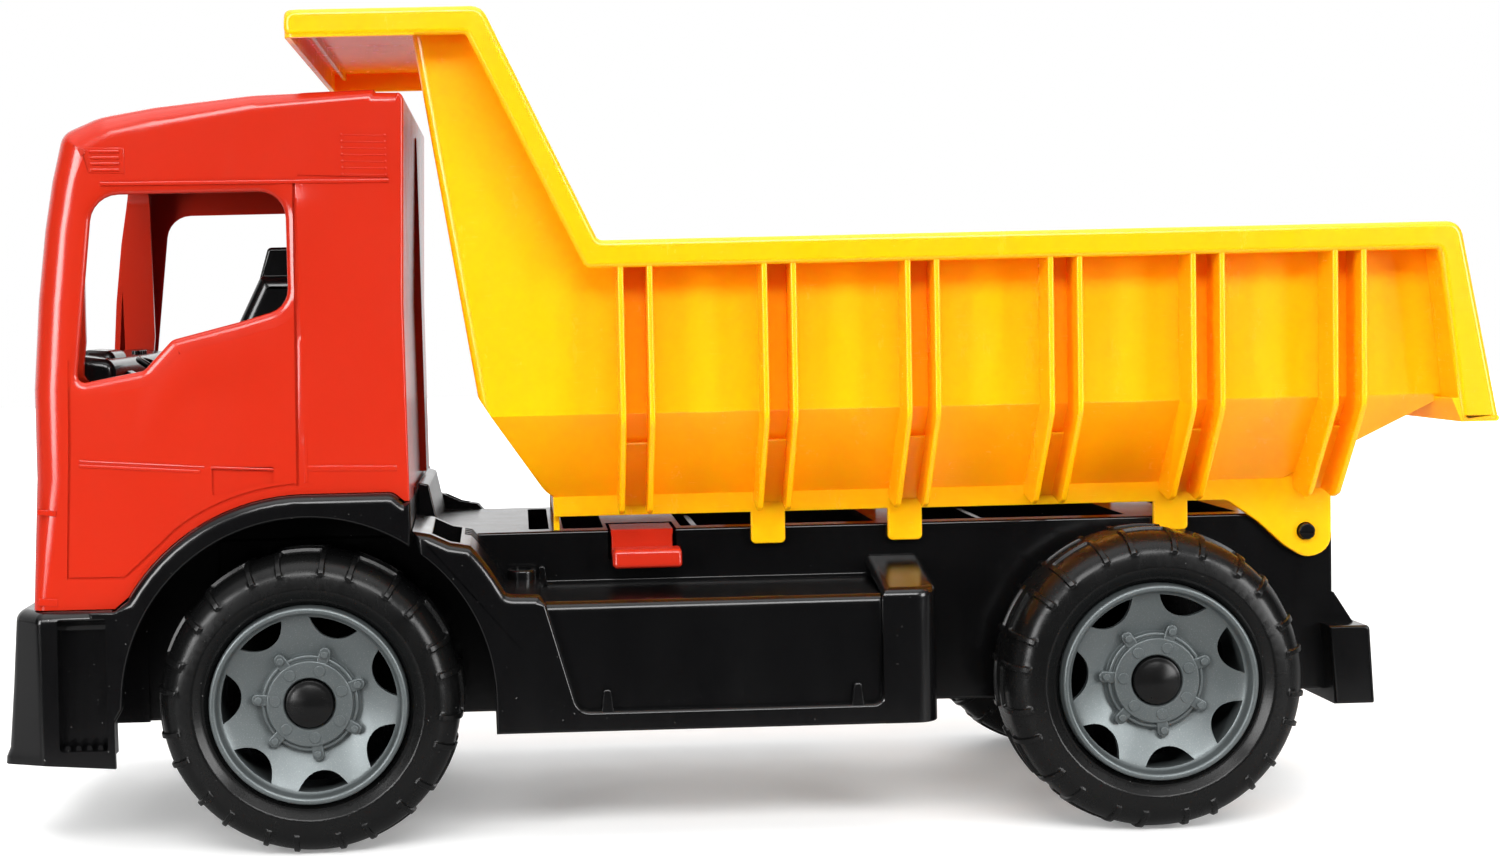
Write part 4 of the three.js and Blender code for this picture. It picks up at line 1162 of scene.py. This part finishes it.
LUG_PHASE, LUG_HALF_GAP, LUG_PERIOD = 17.2, 6.1, 30
RAIL_HEIGHT, RAIL_HALF_WIDTH, RAIL_REACH = 1.2, 0.95, 6.0
FIRST_WINDOW, WINDOWS = 20.5, 7
SEAT_RADIUS = 41.45
TYRE_MIDDLE = 93


def tyre_profile():
    """(radius, y) round the tyre's outside, from the outer bead to the inner one."""
    outer = [
        (41.9, 111.5), (42.0, 112.3), (42.5, 113.0), (43.2, 113.6), (44.2, 114.3), (45.4, 115.1),
        (46.6, 115.9), (47.5, 116.6), (48.2, 117.0), (49.0, 117.1), (50, 116.9), (51.5, 116.6), (53, 116.3),
        (54.0, 116.0), (54.4, 115.9), (54.8, 115.75), (55.4, 115.5), (56.4, 115.0), (57.6, 114.2),
        (58.8, 113.1), (59.9, 111.8), (61.1, 110.2), (61.8, 108.6), (62.15, 107.2), (62.4, 105.6),
        (62.55, 103.8), (62.65, 102.2),
    ]
    across = [101.6 - 0.43 * k for k in range(41)]
    tread = [(62.7 + 0.1 * (1 - ((y - TYRE_MIDDLE) / 8.6) ** 2), y) for y in across]
    inner = [(r, 2 * TYRE_MIDDLE - y) for r, y in outer[::-1]]
    return outer + tread + inner


def rail_height(turn, r, y):
    """How far the tread's rails stand up: pairs of lugs down each shoulder, bowed over the tread's edge."""
    side = abs(y - TYRE_MIDDLE)
    within = abs((turn - LUG_PHASE + LUG_PERIOD / 2) % LUG_PERIOD - LUG_PERIOD / 2)
    distance = math.radians(abs(within - LUG_HALF_GAP)) * r if side > RAIL_REACH else math.inf
    if side <= RAIL_REACH + 2.5 and within >= LUG_HALF_GAP - 0.5:
        past = math.radians(max(0.0, LUG_HALF_GAP - within)) * r
        distance = min(distance, math.hypot(past, side - RAIL_REACH))
    start = clamped((r - 54.1) / 0.6) if side > 10 else 1.0
    return RAIL_HEIGHT * start * clamped((RAIL_HALF_WIDTH + 0.35 - distance) / 0.35)


def tyre_mesh():
    """A hollow tyre, turned from its profile with the rails lifted out of it."""
    at_lug = [LUG_HALF_GAP + d for d in (-1.25, -0.95, -0.8, 0.8, 0.95, 1.25)]
    offsets = [0, 2.5, 4.2, *at_lug, 8.6, 10.6, 12.8, 15]
    offsets += [-offset for offset in offsets[1:-1]]
    middles = [LUG_PHASE + LUG_PERIOD * period for period in range(12)]
    turns = sorted((middle + offset) % 360 for middle in middles for offset in offsets)
    outside = tyre_profile()
    inside = [
        (4.4, 69.5), (4.4, 72), (41.9, 72), (50, 72), (57, 74), (60.8, 80), (61, 93), (60.8, 106),
        (57, 111.5), (50, 113.8), (43.5, 114.5), (43.5, 112.5),
    ]
    bm = bmesh.new()
    columns = []
    for turn in turns:
        a = math.radians(turn)
        column = []
        for i, (r, y) in enumerate(outside):
            before, after = outside[max(i - 1, 0)], outside[min(i + 1, len(outside) - 1)]
            normal = Vector((before[1] - after[1], after[0] - before[0])).normalized()
            lift = rail_height(turn, r, y)
            column.append((r + normal.x * lift, y + normal.y * lift))
        columns.append([bm.verts.new((r * math.cos(a), y, r * math.sin(a))) for r, y in column + inside])
    for a, b in zip(columns, columns[1:] + columns[:1]):
        for i in range(len(a)):
            j = (i + 1) % len(a)
            bm.faces.new((a[i], a[j], b[j], b[i]))
    return new_object(bm)


def wheel_disc_mesh():
    """The disc: a bead ring, a dish with windows, and a hub with its tabs, bolts and nuts."""
    seat = SEAT_RADIUS
    disc = lathe([
        (38.6, 78), (seat - 0.6, 78), (seat, 79), (seat, 112.6), (41.1, 113.3), (41.1, 117.0),
        (40.7, 117.7), (39.8, 118.0), (38.9, 117.7), (38.3, 117.0), (38.0, 114.4), (37.4, 113.3),
        (36.3, 112.6), (34.5, 111.7), (31, 110.2), (27, 108.6), (23.6, 107.3), (21.6, 106.6), (20.7, 106.5),
        (20.3, 107.0), (20.1, 109.0), (19.6, 109.4), (19.0, 109.4), (18.7, 109.0), (18.3, 108.9),
        (18.0, 109.3), (17.9, 110.9), (17.4, 111.3), (11.2, 111.3), (10.7, 110.7), (10.5, 109.4),
        (10.3, 105.0), (3.5, 105.0), (3.5, 80), (8, 80), (9, 102.5), (19, 103.8), (30, 106.8),
        (37.6, 110.2),
    ], segments=WINDOWS * 24)
    spots = []
    for i in range(WINDOWS):
        middle = FIRST_WINDOW + 360 / WINDOWS * i
        a = math.radians(middle)
        toward, across = Vector((math.cos(a), math.sin(a))), Vector((-math.sin(a), math.cos(a)))
        spots.append((toward, across))
        bow = []
        for k in range(13):
            t = -1 + k / 6
            bow.append(toward * (28.6 + 6.4 * abs(t) ** 2.3) - across * 10.4 * t)
        cut(disc, slab([*arc(0, 0, 36.7, middle - 16.4, middle + 16.4, 8), *bow], 95, 116))
    half, start, end = 2.4, 17, 24.3
    for toward, across in spots:
        tab = [toward * start - across * half, (*(toward * end - across * half), half - 0.05),
               (*(toward * end + across * half), half - 0.05), toward * start + across * half]
        join(disc, slab(tab, 104.5, 110.2, soft=(0, 0.5), steps=3))
        join(disc, rod(toward * 21.4, 1.6, 108, 111.7, soft=0.4))
        join(disc, rod(toward * 14.3, 2.35, 110, 111.8, soft=0.25, quarter=7))
    return disc


def hub_cap_mesh():
    return lathe([
        (0, 110.4), (7.0, 110.4), (7.4, 107), (9.9, 107), (10.0, 111.2), (9.7, 111.8), (9.1, 112.0),
        (8.5, 112.05), (7.8, 112.3), (6, 112.9), (3, 113.5), (0, 113.8),
    ], segments=56)


def wheels():
    """Each corner's tyre, disc and hub cap, copied from one right-hand set."""
    patterns = (
        ("tyre", tyre_mesh(), "tyre", 0, 60),
        ("wheel_disc", wheel_disc_mesh(), "silver", 0.4, 45),
        ("hub_cap", hub_cap_mesh(), "cap", 0, 45),
    )
    for end, x in (("front", 0), ("rear", WHEELBASE)):
        for s in SIDES:
            corner = f"{end}_{SIDE_NAME[s]}"
            to_side = Matrix.Translation((x, 0, AXLE_Z)) @ (MIRROR if s < 0 else Matrix.Identity(4))
            for word, pattern, material, edge, smooth in patterns:
                piece(copied(pattern, to_side), f"{corner}_{word}", material, corner + "_wheel", edge, smooth)
    for _, pattern, *_ in patterns:
        bpy.data.meshes.remove(pattern.data)


cab_base()
chassis_frame()
for side in SIDES:
    side_skirt(side)
    hinge_pin(side)
tipper_tub()
tipper_latch()
seat_bench()
dashboard()
steering_wheel()
wheels()

# ------------------------------------------------------------------ camera, light and floor


def make_camera():
    """The camera at the photograph's place, in the row frame."""
    yaw, pitch, roll = 0.0244, 0.0526, -0.0234
    place = (ORIGIN_X + 90.3 * MM, -1.0525, 0.2247)
    forward = Vector((math.sin(yaw) * math.cos(pitch), math.cos(yaw) * math.cos(pitch), -math.sin(pitch)))
    right = Vector((math.cos(yaw), -math.sin(yaw), 0))
    up = right.cross(forward)
    tilted = right * math.cos(roll) + up * math.sin(roll)
    upright = up * math.cos(roll) - right * math.sin(roll)
    data = bpy.data.cameras.new("camera")
    data.sensor_width = 36
    data.lens = 54.57
    data.shift_x = 0.1163
    camera = bpy.data.objects.new("camera", data)
    turn = Matrix((tilted, upright, -forward)).transposed().to_4x4()
    camera.matrix_world = Matrix.Translation(place) @ turn
    bpy.context.scene.collection.objects.link(camera)
    bpy.context.scene.camera = camera


def softbox(name, place, target, size, power):
    data = bpy.data.lights.new(name, "AREA")
    data.shape = "RECTANGLE"
    data.size, data.size_y = size
    data.energy = power
    light = bpy.data.objects.new(name, data)
    light.location = place
    light.rotation_mode = "QUATERNION"
    light.rotation_quaternion = (Vector(place) - Vector(target)).to_track_quat("Z", "Y")
    bpy.context.scene.collection.objects.link(light)


def make_backdrop():
    """A world that is white to the camera, bright behind and overhead, and dark in front."""
    world = bpy.data.worlds.new("studio")
    n = Tree(world)
    parts = n.add("ShaderNodeSeparateXYZ")
    n.link(n.add("ShaderNodeTexCoord").outputs["Generated"], parts.inputs[0])
    behind = n.remap(parts.outputs["Y"], 0.25, 0.7, 0.012, 1.0)
    overhead = n.remap(parts.outputs["Z"], 0.45, 0.85, 0.0, 1.15)
    seen = n.add("ShaderNodeLightPath").outputs["Is Camera Ray"]
    brightest = n.math("MAXIMUM", n.math("MAXIMUM", behind, overhead), seen)
    background = n.add("ShaderNodeBackground", Color=(1, 1, 1, 1))
    n.link(brightest, background.inputs["Strength"])
    n.link(background.outputs[0], n.add("ShaderNodeOutputWorld").inputs[0])
    bpy.context.scene.world = world
    bpy.context.scene.view_settings.view_transform = "Standard"


def make_floor():
    """A pale floor, which glows more with distance and is darker in reflections."""
    n = Surface("pale_floor")
    pale = n.mix(n.noise(3, 3.0, 0.5), (0.86, 0.86, 0.855), (0.9, 0.9, 0.895))
    mirrored_ray = n.add("ShaderNodeLightPath").outputs["Is Glossy Ray"]
    place = n.add("ShaderNodeSeparateXYZ")
    n.link(n.place, place.inputs[0])
    glow = n.remap(place.outputs["Y"], 0.7, 2.2, 0.2, 1.0)
    n.look(
        Base_Color=n.mix(mirrored_ray, pale, (0.22, 0.22, 0.22)),
        Roughness=n.remap(n.noise(40, 4.0, 0.6), 0.3, 0.7, 0.55, 0.65),
        Emission_Color=(1, 1, 1, 1),
        Emission_Strength=n.math("MULTIPLY", glow, n.remap(mirrored_ray, 0, 1, 1.0, 0.25)),
    )
    bm = bmesh.new()
    half_width, front, back = 4, -0.34, 5
    corners = rectangle(-half_width, half_width, front, back)
    bm.faces.new([bm.verts.new(corner) for corner in corners])
    floor = new_object(bm, "floor")
    floor.data.materials.append(n.material)


# The axles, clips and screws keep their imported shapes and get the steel.
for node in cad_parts.values():
    if any(word in node.name for word in ("axle", "screw")):
        for material_slot in node.material_slots:
            material_slot.material = MATERIALS["steel"]

make_camera()
for numbers in (
    ("overhead_softbox", (0.0, -0.25, 1.7), (0, 0, 0.1), (1.9, 1.5), 9),
    ("left_softbox", (-1.4, -1.45, 0.62), (-0.05, 0, 0.17), (0.6, 1.1), 30),
    ("right_softbox", (1.55, -1.45, 0.62), (0.05, 0, 0.17), (0.6, 1.1), 29),
    ("front_softbox", (0.05, -1.9, 1.4), (0, 0, 0.17), (1.8, 0.6), 42),
    ("rear_softbox", (0.2, 1.9, 1.2), (0, 0, 0.17), (2.2, 1.2), 14),
):
    softbox(*numbers)
make_backdrop()
make_floor()
